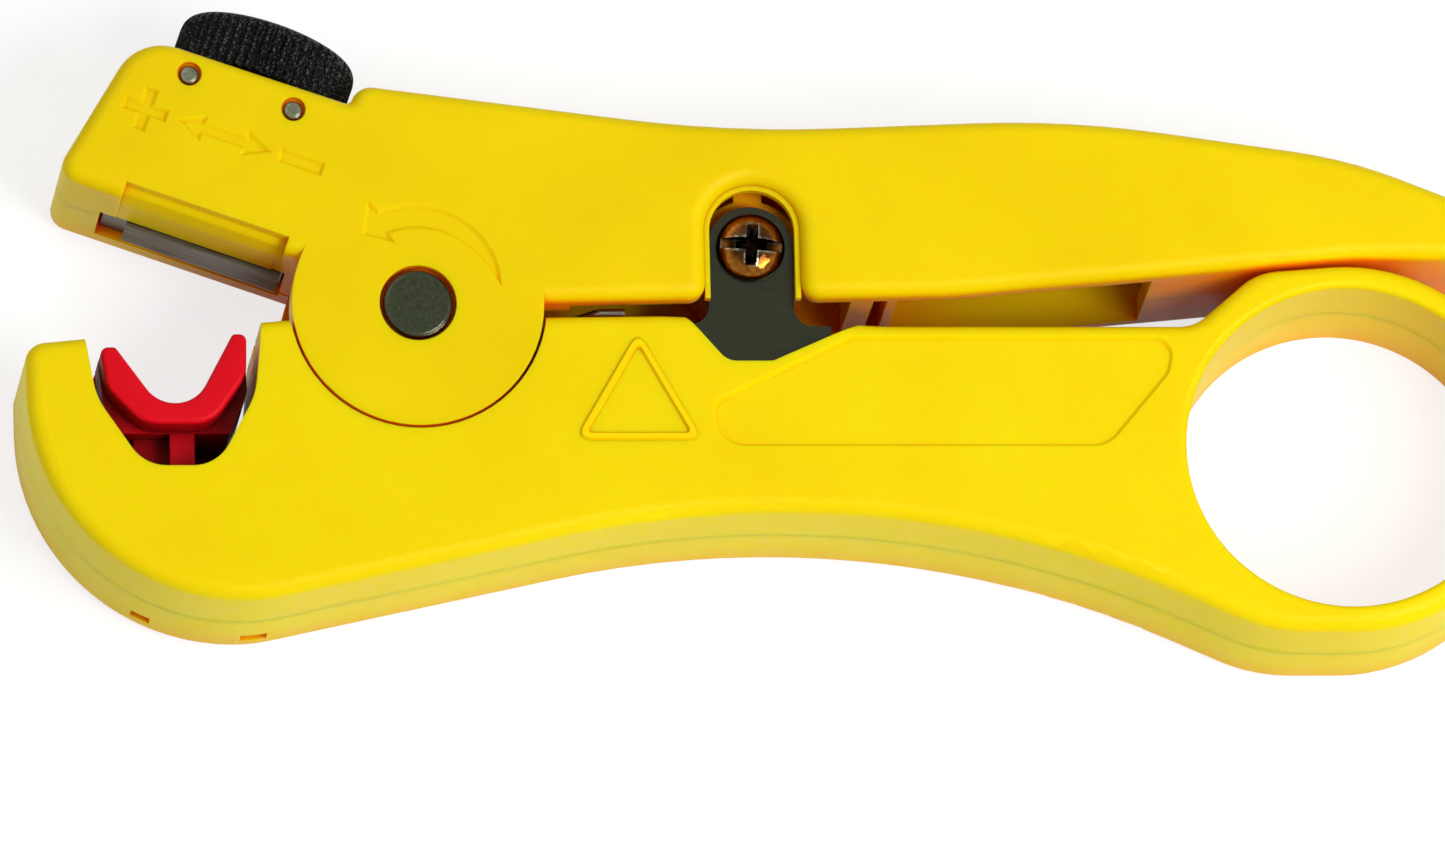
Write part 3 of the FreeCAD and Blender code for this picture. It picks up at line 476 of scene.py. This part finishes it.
def material_set():
    upright = ((0.0, 0.0, 0.0), PIVOT)
    knob_axis = ((math.radians(90), 0.0, -HEAD_TILT), middle_of("depth_knob"))
    along_head = (0.0, 0.0, -HEAD_TILT)
    return {
        "body": yellow_plastic("moulded_yellow", srgb(252, 222, 2), srgb(247, 216, 0),
                               gloss=0.42, grain_depth=0.02),
        "frame": yellow_plastic("moulded_yellow_frame", srgb(252, 220, 4), srgb(248, 216, 2),
                                gloss=0.42, grain_depth=0.012, scatter=0.0),
        "head": yellow_plastic("moulded_yellow_upper", srgb(246, 217, 2), srgb(240, 210, 0),
                               gloss=0.4, grain_depth=0.016),
        "red": moulded_plastic("moulded_red", RED_SHADE, RED_DEEP, seam_shade=RED_DEEP,
                               gloss=0.34, grain_depth=0.03, crevice_shade_tones=RED_CREVICE_SHADE,
                               hollow_shade_tones=RED_HOLLOW_SHADE),
        "pin": turned_metal("pin_steel", srgb(96, 102, 80), srgb(128, 134, 110), gloss=0.16,
                            axis_place=upright, ring_mm=0.16, ring_depth=0.004),
        "pivot": turned_metal("pivot_steel", srgb(52, 57, 42), srgb(66, 71, 54), gloss=0.2,
                              axis_place=upright, ring_mm=0.22, ring_depth=0.004),
        "nickel": nickel_plate("bright_nickel"),
        "screw": nickel_plate("screw_nickel", middle_of("cutter_screw")),
        "adjuster": turned_metal("adjuster_steel", srgb(150, 150, 146), srgb(185, 185, 180),
                                 gloss=0.3, axis_place=knob_axis, ring_mm=0.3,
                                 ring_depth=0.004),
        "plate": brushed_metal("cutter_steel", srgb(51, 52, 41), srgb(55, 56, 44), gloss=0.27,
                               spread=0.015, angle=(0.0, 0.0, PLATE_STREAKS_TURN),
                               streak_depth=0.0002),
        "blade": brushed_metal("blade_steel", srgb(88, 88, 80), srgb(118, 118, 108), gloss=0.3,
                               spread=0.08, angle=along_head, streak_depth=0.004),
        "carriage": brushed_metal("carriage_metal", srgb(78, 77, 70), srgb(98, 97, 90),
                                  gloss=0.42, spread=0.08, angle=along_head,
                                  streak_depth=0.006),
        "spring": brushed_metal("spring_steel", srgb(92, 92, 84), srgb(130, 130, 120),
                                gloss=0.32, spread=0.08, angle=(0.0, 0.0, 0.0),
                                streak_depth=0.004),
        "knob": knob_plastic("knob_black"),
    }


FINISHES = {
    "lower_front_shell": "body", "lower_back_shell": "body",
    "upper_front_shell": "head", "upper_back_shell": "head",
    "v_cassette": "red",
    "pivot_pin": "pivot", "pivot_cap": "pivot",
    "head_pin_left": "pin", "head_pin_right": "pin",
    "torsion_spring": "spring", "carriage_spring": "spring",
    "cutter_blade": "plate", "cutter_nut": "nickel", "cutter_screw": "screw",
    "depth_knob": "knob", "adjuster_screw": "adjuster",
    "blade_carriage": "carriage", "strip_blade": "blade",
    "blade_pin_left": "pin", "blade_pin_right": "pin",
}


def dress_nodes(finishes):
    for node, finish in FINISHES.items():
        mesh = NODES[node].data
        mesh.materials.clear()
        mesh.materials.append(finishes[finish])


# Mesh helpers: outlines are lists of (x, y) in millimetres, counterclockwise

def new_piece(name, mesh, body, finish):
    piece = bpy.data.objects.new(name, mesh)
    bpy.context.scene.collection.objects.link(piece)
    mesh.materials.clear()
    mesh.materials.append(finish)
    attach(piece, body)
    return piece


def smooth(mesh, angle):
    """Smooth shading, sharp where faces meet at more than the angle."""
    mesh.polygons.foreach_set("use_smooth", [True] * len(mesh.polygons))
    mesh.set_sharp_from_angle(angle=math.radians(angle))
    mesh.update()


def apply_modifiers(piece):
    bpy.context.view_layer.update()
    made = bpy.data.meshes.new_from_object(
        piece.evaluated_get(bpy.context.evaluated_depsgraph_get()))
    piece.modifiers.clear()
    piece.data = made


SURFACE_REACH = 0.02 * MM
INTO_FACE = 0.02


def keep_normals(mesh, original, angle):
    """Shade a cut mesh as the original was, apart from the faces that the cuts made."""
    inherited = mesh.attributes.get("custom_normal")
    if inherited is not None:
        mesh.attributes.remove(inherited)
    smooth(mesh, angle)
    corners = [vertex.co.copy() for vertex in original.vertices]
    original.calc_loop_triangles()
    triangles = original.loop_triangles
    tree = BVHTree.FromPolygons(corners, [tuple(tri.vertices) for tri in triangles])
    loop_normals = [Vector(normal.vector) for normal in original.corner_normals]
    drift = math.cos(math.radians(angle))
    own = [Vector(normal.vector) for normal in mesh.corner_normals]
    shaded = []
    for polygon in mesh.polygons:
        for loop in polygon.loop_indices:
            place = mesh.vertices[mesh.loops[loop].vertex_index].co
            inner = place.lerp(polygon.center, INTO_FACE)
            _, _, index, distance = tree.find_nearest(inner)
            triangle = triangles[index]
            flat = triangle.normal.dot(polygon.normal)
            if distance > SURFACE_REACH or flat < drift:
                shaded.append(own[loop])
                continue
            ends = [corners[vertex] for vertex in triangle.vertices]
            near = [loop_normals[corner] for corner in triangle.loops]
            shaded.append(barycentric_transform(place, *ends, *near).normalized())
    mesh.normals_split_custom_set(shaded)


def cut_with(piece, cutters):
    """Cut the cutter meshes out of a piece, one after the other."""
    for cutter in cutters:
        tool = bpy.data.objects.new("tool", cutter)
        bpy.context.scene.collection.objects.link(tool)
        cut = piece.modifiers.new("cut", "BOOLEAN")
        cut.operation = "DIFFERENCE"
        cut.solver = "EXACT"
        cut.object = tool
        apply_modifiers(piece)
        bpy.data.objects.remove(tool)


LEAST_MITRE = 0.35


def offset_outline(outline, distance):
    """The outline moved outward by a distance, mitred at its corners."""
    moved = []
    count = len(outline)
    for index, (x, y) in enumerate(outline):
        before = Vector(outline[index - 1])
        here = Vector((x, y))
        after = Vector(outline[(index + 1) % count])
        into = (here - before).normalized()
        out_of = (after - here).normalized()
        normal_in = Vector((into.y, -into.x))
        normal_out = Vector((out_of.y, -out_of.x))
        middle = (normal_in + normal_out).normalized()
        reach = distance / max(middle.dot(normal_in), LEAST_MITRE)
        moved.append(tuple(here + middle * reach))
    return moved


def through_rings(name, rings, place, closed=False):
    """A solid through rings of (x, y, height) points: its ends are capped, or they meet."""
    mesh = bpy.data.meshes.new(name)
    build = bmesh.new()
    rows = [[build.verts.new(place @ (Vector(point) * MM)) for point in ring]
            for ring in rings]
    if closed:
        pairs = list(zip(rows, rows[1:] + rows[:1]))
    else:
        pairs = list(zip(rows, rows[1:]))
        build.faces.new(list(reversed(rows[0])))
        build.faces.new(rows[-1])
    for lower, upper in pairs:
        for index in range(len(lower)):
            following = (index + 1) % len(lower)
            build.faces.new((lower[index], lower[following], upper[following], upper[index]))
    bmesh.ops.recalc_face_normals(build, faces=build.faces)
    build.to_mesh(mesh)
    build.free()
    return mesh


def prism(name, sections, place):
    """A solid through sections of (outline, height), joined corner to corner."""
    rings = [[(x, y, height) for x, y in outline] for outline, height in sections]
    return through_rings(name, rings, place)


CORNER_STEPS = 6


def rounded_profile(corners, steps=CORNER_STEPS):
    """Points along (x, y, radius) corners, each rounded by a curve of about its radius."""
    points = []
    for index, (x, y, radius) in enumerate(corners):
        here = Vector((x, y))
        if radius == 0.0 or index in (0, len(corners) - 1):
            points.append(here)
            continue
        back = (Vector(corners[index - 1][:2]) - here).normalized()
        ahead = (Vector(corners[index + 1][:2]) - here).normalized()
        half = back.angle(ahead) / 2
        start = here + back * (radius / math.tan(half))
        end = here + ahead * (radius / math.tan(half))
        for step in range(steps + 1):
            part = step / steps
            blend = start * (1 - part) ** 2 + here * 2 * part * (1 - part) + end * part ** 2
            points.append(blend)
    return points


def turned(name, profile, segments, place, radius_at):
    """A turned solid about its Z axis through (radius, height) points from foot to top."""
    rings = []
    for radius, height in profile:
        ring = []
        for segment in range(segments):
            angle = 2 * math.pi * segment / segments
            reach = radius_at(radius, height, angle)
            ring.append((reach * math.cos(angle), reach * math.sin(angle), height))
        rings.append(ring)
    return through_rings(name, rings, place)


# Places of the moulded and turned details, in the CAD frame

HEAD_ORIGIN = Vector((-13.06, 20.28)) * MM
HEAD = (Matrix.Translation(PIVOT + HEAD_ORIGIN.to_3d())
        @ Matrix.Rotation(HEAD_TILT, 4, "Z"))
KNOB_AXIS = HEAD @ Matrix.Rotation(math.radians(-90), 4, "X")
ABOUT_PIVOT = Matrix.Translation(PIVOT)
FACE = FRONT_LEVEL / MM


# The moulded signs on the head's front: plus, double arrow, minus and the turning arrow

SIGN_LINE = -6.3
SIGN_DEPTH = 0.28
SIGN_DRAFT = 0.3
SIGN_FLARE = 0.05
SIGN_OVERSHOOT = 0.08
PLUS_AT = -8.21
MINUS_AT = 5.8
SIGN_LENGTH = 3.7
PLUS_BAR = 0.9
MINUS_BAR = 1.05
ARROW_LEFT = -5.15
ARROW_RIGHT = 2.9
ARROW_HEAD = 2.05
ARROW_BARB = 1.0
ARROW_SHAFT = 0.45
TURN_START = 14.4
TURN_END = 112.0
TURN_RADIUS = 7.26
TURN_STEPS = 22
TURN_HEAD = [(-4.0, 8.78), (-4.44, 6.07), (-2.07, 5.43)]
OUTER_SWELL, OUTER_POWER = 1.32, 2.2
INNER_SWELL, INNER_POWER = 0.6, 7
WELD_REACH = 1e-7
CUT_SHARP = 28.0


def plus_outline():
    arm = SIGN_LENGTH / 2
    bar = PLUS_BAR / 2
    quarter = [(bar, -arm), (bar, -bar), (arm, -bar)]
    points = []
    for turn in range(4):
        spin = Matrix.Rotation(math.radians(90 * turn), 2)
        points += [tuple(spin @ Vector(corner)) for corner in quarter]
    return [(x + PLUS_AT, y + SIGN_LINE) for x, y in points]


def minus_outline():
    half = SIGN_LENGTH / 2
    bar = MINUS_BAR / 2
    return [(MINUS_AT - half, SIGN_LINE - bar), (MINUS_AT + half, SIGN_LINE - bar),
            (MINUS_AT + half, SIGN_LINE + bar), (MINUS_AT - half, SIGN_LINE + bar)]


def double_arrow_outline():
    left = ARROW_LEFT + ARROW_HEAD
    right = ARROW_RIGHT - ARROW_HEAD
    lower = [(ARROW_LEFT, 0.0), (left, -ARROW_BARB), (left, -ARROW_SHAFT),
             (right, -ARROW_SHAFT), (right, -ARROW_BARB), (ARROW_RIGHT, 0.0)]
    upper = [(x, -y) for x, y in reversed(lower[1:-1])]
    return [(x, y + SIGN_LINE) for x, y in lower + upper]


def turning_arrow_outline():
    """A band about the pivot that swells from a point into a broad head."""
    def on_circle(radius, degrees):
        angle = math.radians(degrees)
        return (radius * math.cos(angle), radius * math.sin(angle))
    outer = []
    inner = []
    for step in range(TURN_STEPS + 1):
        part = step / TURN_STEPS
        degrees = TURN_START + (TURN_END - TURN_START) * part
        swell = OUTER_SWELL * (1 - (1 - part) ** OUTER_POWER)
        outer.append(on_circle(TURN_RADIUS + swell, degrees))
        swell = INNER_SWELL * (1 - (1 - part) ** INNER_POWER)
        inner.append(on_circle(TURN_RADIUS - swell, degrees))
    return outer + TURN_HEAD + list(reversed(inner[1:]))


def sign_cutter(name, outline, place):
    return prism(name, [
        (offset_outline(outline, -SIGN_DRAFT / 2), FACE - SIGN_DEPTH),
        (offset_outline(outline, SIGN_DRAFT / 2), FACE),
        (offset_outline(outline, SIGN_DRAFT / 2 + SIGN_FLARE), FACE + SIGN_OVERSHOOT),
    ], place)


def signed_head_shell(finish):
    """The front shell of the upper half again, with its signs sunk in the face."""
    mesh = NODES["upper_front_shell"].data.copy()
    mesh.name = "head_shell_with_signs"
    weld = bmesh.new()
    weld.from_mesh(mesh)
    bmesh.ops.remove_doubles(weld, verts=weld.verts, dist=WELD_REACH)
    weld.to_mesh(mesh)
    weld.free()
    shell = new_piece("head_shell_with_signs", mesh, "upper", finish)
    cut_with(shell, [
        sign_cutter("plus", plus_outline(), HEAD),
        sign_cutter("double_arrow", double_arrow_outline(), HEAD),
        sign_cutter("minus", minus_outline(), HEAD),
        sign_cutter("turning_arrow", turning_arrow_outline(), ABOUT_PIVOT),
    ])
    keep_normals(shell.data, NODES["upper_front_shell"].data, CUT_SHARP)
    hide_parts("upper_front_shell")


# The raised frame of three bars on the lower handle

FRAME_CORNERS = [(13.0, -12.1, 0.9), (24.1, -12.1, 0.9), (18.7, -2.35, 0.9)]
FRAME_BAR = 0.72
FRAME_RISE = 0.28
FRAME_SINK = 0.05
FRAME_SLOPE = 0.16
FRAME_SHARP = 50.0
INNER_ROUNDING = 0.9
LEAST_ROUNDING = 0.12


def ring_outline(corners, inset):
    """A closed outline with rounded corners, drawn inward by an inset."""
    sides = offset_outline([(x, y) for x, y, _ in corners], -inset)
    closed = [(x, y, max(radius - inset * INNER_ROUNDING, LEAST_ROUNDING))
              for (x, y), (_, _, radius) in zip(sides, corners)]
    looped = [closed[-1]] + closed + [closed[0]]
    return [tuple(point) for point in rounded_profile(looped)[1:-1]]


def raised_frame(finish):
    foot = FACE - FRAME_SINK
    top = FACE + FRAME_RISE
    levels = [(0.0, foot), (0.0, FACE), (FRAME_SLOPE, top),
              (FRAME_BAR - FRAME_SLOPE, top), (FRAME_BAR, FACE), (FRAME_BAR, foot)]
    rings = [[(x, y, height) for x, y in ring_outline(FRAME_CORNERS, inset)]
             for inset, height in levels]
    mesh = through_rings("raised_frame", rings, ABOUT_PIVOT, closed=True)
    smooth(mesh, FRAME_SHARP)
    new_piece("raised_frame", mesh, "lower", finish)


# The knob, finely ridged and crowned

KNOB_RADIUS = 7.75
KNOB_FOOT = 0.3
KNOB_TOP = 5.44
KNOB_CROWN = 0.35
KNOB_RIDGES = 54
RIDGE_DEPTH = 0.42
RIDGE_SHARPNESS = 1.6
STEPS_PER_RIDGE = 12
KNOB_HUB = 0.2
KNOB_FOOT_ROUNDING = 0.3
KNOB_CROWN_ROUNDING = 1.5
KNOB_CORNER_STEPS = 10
KNOB_ROW = 0.35
KNOB_SHARP = 50.0


def ridged_knob(finish):
    profile = rounded_profile([
        (KNOB_HUB, KNOB_FOOT, 0.0),
        (KNOB_RADIUS, KNOB_FOOT, KNOB_FOOT_ROUNDING),
        (KNOB_RADIUS, KNOB_TOP - KNOB_CROWN, KNOB_CROWN_ROUNDING),
        (KNOB_HUB, KNOB_TOP, 0.0),
    ], steps=KNOB_CORNER_STEPS)
    filled = []
    for first, second in zip(profile, profile[1:]):
        pieces = max(1, round((second - first).length / KNOB_ROW))
        filled += [first.lerp(second, part / pieces) for part in range(pieces)]
    filled.append(profile[-1])

    def cut_by_valleys(radius, height, angle):
        phase = (angle * KNOB_RIDGES / (2 * math.pi)) % 1.0
        valley = math.cos((phase - 0.5) * math.pi) ** RIDGE_SHARPNESS
        return min(radius, KNOB_RADIUS - RIDGE_DEPTH * valley)

    mesh = turned("ridged_knob", filled, KNOB_RIDGES * STEPS_PER_RIDGE, KNOB_AXIS,
                  cut_by_valleys)
    smooth(mesh, KNOB_SHARP)
    knob = new_piece("ridged_knob", mesh, "knob", finish)
    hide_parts("depth_knob")


# The cutter's screw: a pan head with a cross and a slot, and a threaded shank

SCREW_RADIUS = 1.5
SCREW_HEAD_RADIUS = 2.95
SCREW_HEAD_RISE = 1.75
SCREW_RIM = 0.25
DOME_STEPS = 20
SCREW_RIM_TURN = 88.0
SCREW_SEGMENTS = 64
SCREW_SEAT_GAP = 0.05
SCREW_PITCH = 0.5
THREAD_ROWS = 8
THREAD_DEPTH = 0.27
THREAD_START = 0.3
THREAD_STOP = 0.2
SCREW_TIP_TAPER = 0.35
SCREW_SLOT_TURN = -4.5
# Each cut: its name, length and width at the top and at the bottom, its top over the crown,
# its depth under it, and whether it lies across the slot
SCREW_CUTS = [
    ("slot", (7.0, 1.05), (7.0, 0.85), 0.2, 0.8, False),
    ("wings", (4.4, 1.05), (1.5, 0.6), 0.05, 1.5, True),
    ("cross", (4.0, 1.1), (1.5, 0.6), 0.05, 1.5, False),
]
SCREW_BEVEL = 0.09
SCREW_BEVEL_ANGLE = 40
SCREW_SHARP = 45.0


def tapered_box(name, top_size, bottom_size, top, bottom, place):
    def corners(size):
        x, y = size[0] / 2, size[1] / 2
        return [(-x, -y), (x, -y), (x, y), (-x, y)]
    return prism(name, [(corners(bottom_size), bottom), (corners(top_size), top)], place)


def cross_slot_screw(finish):
    low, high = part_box("cutter_screw")
    axis = Matrix.Translation(Vector(((low.x + high.x) / 2, (low.y + high.y) / 2, 0.0)))
    end = low.z / MM
    crown = high.z / MM
    seat = crown - SCREW_HEAD_RISE + SCREW_SEAT_GAP
    shank = []
    rows = int((seat - end - THREAD_START) / (SCREW_PITCH / THREAD_ROWS))
    for row in range(rows + 1):
        height = end + THREAD_START + row * SCREW_PITCH / THREAD_ROWS
        shank.append(Vector((SCREW_RADIUS, height)))
    rim = seat + SCREW_RIM
    head = [Vector((SCREW_RADIUS, seat)), Vector((SCREW_HEAD_RADIUS, seat))]
    for step in range(DOME_STEPS + 1):
        angle = math.radians(SCREW_RIM_TURN) * step / DOME_STEPS
        head.append(Vector((SCREW_HEAD_RADIUS * math.cos(angle),
                            rim + (crown - rim) * math.sin(angle))))
    profile = [Vector((SCREW_RADIUS - SCREW_TIP_TAPER, end))] + shank + head

    def threaded(radius, height, angle):
        if radius != SCREW_RADIUS or height > seat - THREAD_STOP:
            return radius
        phase = (height / SCREW_PITCH - angle / (2 * math.pi)) % 1.0
        return radius - THREAD_DEPTH * abs(2 * phase - 1)

    mesh = turned("cross_slot_screw", profile, SCREW_SEGMENTS, axis, threaded)
    screw = new_piece("cross_slot_screw", mesh, "upper", finish)
    along = axis @ Matrix.Rotation(math.radians(SCREW_SLOT_TURN), 4, "Z")
    across = along @ Matrix.Rotation(math.radians(90), 4, "Z")
    cut_with(screw, [
        tapered_box(name, top_size, bottom_size, crown + over, crown - depth,
                    across if crosses else along)
        for name, top_size, bottom_size, over, depth, crosses in SCREW_CUTS])
    bevel = screw.modifiers.new("bevel", "BEVEL")
    bevel.width = SCREW_BEVEL * MM
    bevel.segments = 2
    bevel.limit_method = "ANGLE"
    bevel.angle_limit = math.radians(SCREW_BEVEL_ANGLE)
    apply_modifiers(screw)
    smooth(screw.data, SCREW_SHARP)
    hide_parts("cutter_screw")


# Springs, as smooth round wires

TORSION_WIRE = 0.9
TORSION_RADIUS = 5.2
TORSION_PITCH = 1.3
TORSION_TURNS = 4.0
LOWER_LEG_ANGLE = 42.5
LEG_REACH = 17.8
LEG_SEAT = 6.1
LEG_LINE = -0.35
LEG_JOGGLE = [(0.0, 0.0), (1.9, 0.0), (2.4, 0.35)]
LEG_DROP = [(4.3, 0.35), (4.9, 0.0)]
LEG_JOIN = [(1.2, 0.0), (0.4, 0.1)]
LOWER_LEG_MORE = 2.4
COIL_STEPS = 48
WIRE_ROUNDNESS = 5
WIRE_SHARP = 60.0


def coil_points(radius, height, turns):
    steps = round(COIL_STEPS * turns)
    points = []
    for step in range(steps + 1):
        part = step / steps
        angle = 2 * math.pi * turns * part
        points.append(Vector((radius * math.cos(angle), radius * math.sin(angle),
                              height * (0.5 - part))))
    return points


def wire_piece(name, points, thickness, place, body, finish):
    curve = bpy.data.curves.new(name, "CURVE")
    curve.dimensions = "3D"
    curve.bevel_depth = thickness / 2 * MM
    curve.bevel_resolution = WIRE_ROUNDNESS
    curve.use_fill_caps = True
    line = curve.splines.new("POLY")
    line.points.add(len(points) - 1)
    for spot, point in zip(line.points, points):
        spot.co = (place @ (point * MM)).to_4d()
    line.use_smooth = True
    holder = bpy.data.objects.new(name, curve)
    bpy.context.scene.collection.objects.link(holder)
    bpy.context.view_layer.update()
    mesh = bpy.data.meshes.new_from_object(
        holder.evaluated_get(bpy.context.evaluated_depsgraph_get()))
    bpy.data.objects.remove(holder)
    bpy.data.curves.remove(curve)
    mesh.name = name
    smooth(mesh, WIRE_SHARP)
    return new_piece(name, mesh, body, finish)


def torsion_wire(finish):
    turns = TORSION_TURNS + LOWER_LEG_ANGLE / 360
    height = TORSION_PITCH * turns
    front = height / 2
    angle = math.radians(LOWER_LEG_ANGLE)
    out_along = Vector((math.cos(angle), math.sin(angle), 0.0))
    leg_end = out_along * (LEG_REACH + LOWER_LEG_MORE)
    upper_leg = [Vector((LEG_REACH - back, LEG_LINE, LEG_SEAT - down))
                 for back, down in LEG_JOGGLE]
    upper_leg += [Vector((LEG_REACH - back, LEG_LINE, front + up)) for back, up in LEG_DROP]
    upper_leg += [Vector((TORSION_RADIUS + out, LEG_LINE + aside, front))
                  for out, aside in LEG_JOIN]
    points = [*upper_leg, *coil_points(TORSION_RADIUS, height, turns),
              leg_end + Vector((0.0, 0.0, -front))]
    piece = wire_piece("torsion_wire", points, TORSION_WIRE, ABOUT_PIVOT, "lower", finish)
    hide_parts("torsion_spring")


# Floor, world and lamps

def any_ray(tree, names):
    """One where the ray is of any of the named kinds, else nothing."""
    path = tree.nodes.new("ShaderNodeLightPath")
    total = None
    for name in names:
        if total is None:
            total = path.outputs[name]
            continue
        higher = tree.nodes.new("ShaderNodeMath")
        higher.operation = "MAXIMUM"
        tree.links.new(total, higher.inputs[0])
        tree.links.new(path.outputs[name], higher.inputs[1])
        total = higher.outputs["Value"]
    return total


SEEN_RAYS = ("Is Camera Ray", "Is Glossy Ray", "Is Transmission Ray")
WHITE = (1.0, 1.0, 1.0, 1.0)
WORLD_LIGHT = 0.35


def make_world():
    world = bpy.data.worlds.new("studio")
    world.use_nodes = True
    tree = world.node_tree
    light = tree.nodes["Background"]
    light.inputs["Color"].default_value = WHITE
    light.inputs["Strength"].default_value = WORLD_LIGHT
    seen = tree.nodes.new("ShaderNodeBackground")
    seen.inputs["Color"].default_value = WHITE
    choice = tree.nodes.new("ShaderNodeMixShader")
    tree.links.new(any_ray(tree, SEEN_RAYS), choice.inputs["Fac"])
    tree.links.new(light.outputs["Background"], choice.inputs[1])
    tree.links.new(seen.outputs["Background"], choice.inputs[2])
    tree.links.new(choice.outputs["Shader"], tree.nodes["World Output"].inputs["Surface"])
    bpy.context.scene.world = world


FLOOR_SIZE = 6.0
FLOOR_TONE = (0.82, 0.82, 0.82, 1.0)
FLOOR_SHADOWED_TONE = (0.3, 0.3, 0.3, 1.0)
FLOOR_GLOW = 0.76


def make_floor():
    """A white floor that keeps a soft shadow: seen directly, part of its light is its own."""
    half = FLOOR_SIZE / 2
    mesh = bpy.data.meshes.new("floor")
    corners = [(-half, -half, 0), (half, -half, 0), (half, half, 0), (-half, half, 0)]
    mesh.from_pydata(corners, [], [(0, 1, 2, 3)])
    floor = bpy.data.objects.new("floor", mesh)
    floor.location = (0.0, 0.0, FLOOR_LEVEL)
    bpy.context.scene.collection.objects.link(floor)
    material = bpy.data.materials.new("floor_white")
    material.use_nodes = True
    tree = material.node_tree
    tree.nodes.remove(tree.nodes["Principled BSDF"])
    bounce = tree.nodes.new("ShaderNodeBsdfDiffuse")
    bounce.inputs["Color"].default_value = FLOOR_TONE
    shaded = tree.nodes.new("ShaderNodeBsdfDiffuse")
    shaded.inputs["Color"].default_value = FLOOR_SHADOWED_TONE
    glow = tree.nodes.new("ShaderNodeEmission")
    glow.inputs["Strength"].default_value = FLOOR_GLOW
    both = tree.nodes.new("ShaderNodeAddShader")
    choice = tree.nodes.new("ShaderNodeMixShader")
    tree.links.new(shaded.outputs["BSDF"], both.inputs[0])
    tree.links.new(glow.outputs["Emission"], both.inputs[1])
    tree.links.new(any_ray(tree, SEEN_RAYS), choice.inputs["Fac"])
    tree.links.new(bounce.outputs["BSDF"], choice.inputs[1])
    tree.links.new(both.outputs["Shader"], choice.inputs[2])
    tree.links.new(choice.outputs["Shader"], tree.nodes["Material Output"].inputs["Surface"])
    mesh.materials.append(material)


# Each lamp: its place and width in metres, and its power in watts
LAMPS = {
    "key_lamp": ((0.22, -0.2, 0.5), 0.26, 2.8),
    "fill_lamp": ((-0.5, 0.5, 0.6), 0.7, 1.0),
}


def area_lamp(name, place, size, power):
    """A soft square lamp that faces the object's middle."""
    data = bpy.data.lights.new(name, "AREA")
    data.shape = "SQUARE"
    data.size = size
    data.energy = power
    lamp = bpy.data.objects.new(name, data)
    lamp.location = place
    target = Vector((VIEW_TARGET.x, VIEW_TARGET.y, 0.0))
    lamp.rotation_euler = (target - Vector(place)).to_track_quat("-Z", "Y").to_euler()
    bpy.context.scene.collection.objects.link(lamp)


make_camera()
make_world()
make_floor()
for lamp_name, (lamp_place, lamp_size, lamp_power) in LAMPS.items():
    area_lamp(lamp_name, lamp_place, lamp_size, lamp_power)
finishes = material_set()
dress_nodes(finishes)
signed_head_shell(finishes["head"])
raised_frame(finishes["frame"])
ridged_knob(finishes["knob"])
cross_slot_screw(finishes["screw"])
torsion_wire(finishes["spring"])
bpy.context.scene.view_settings.view_transform = "Standard"
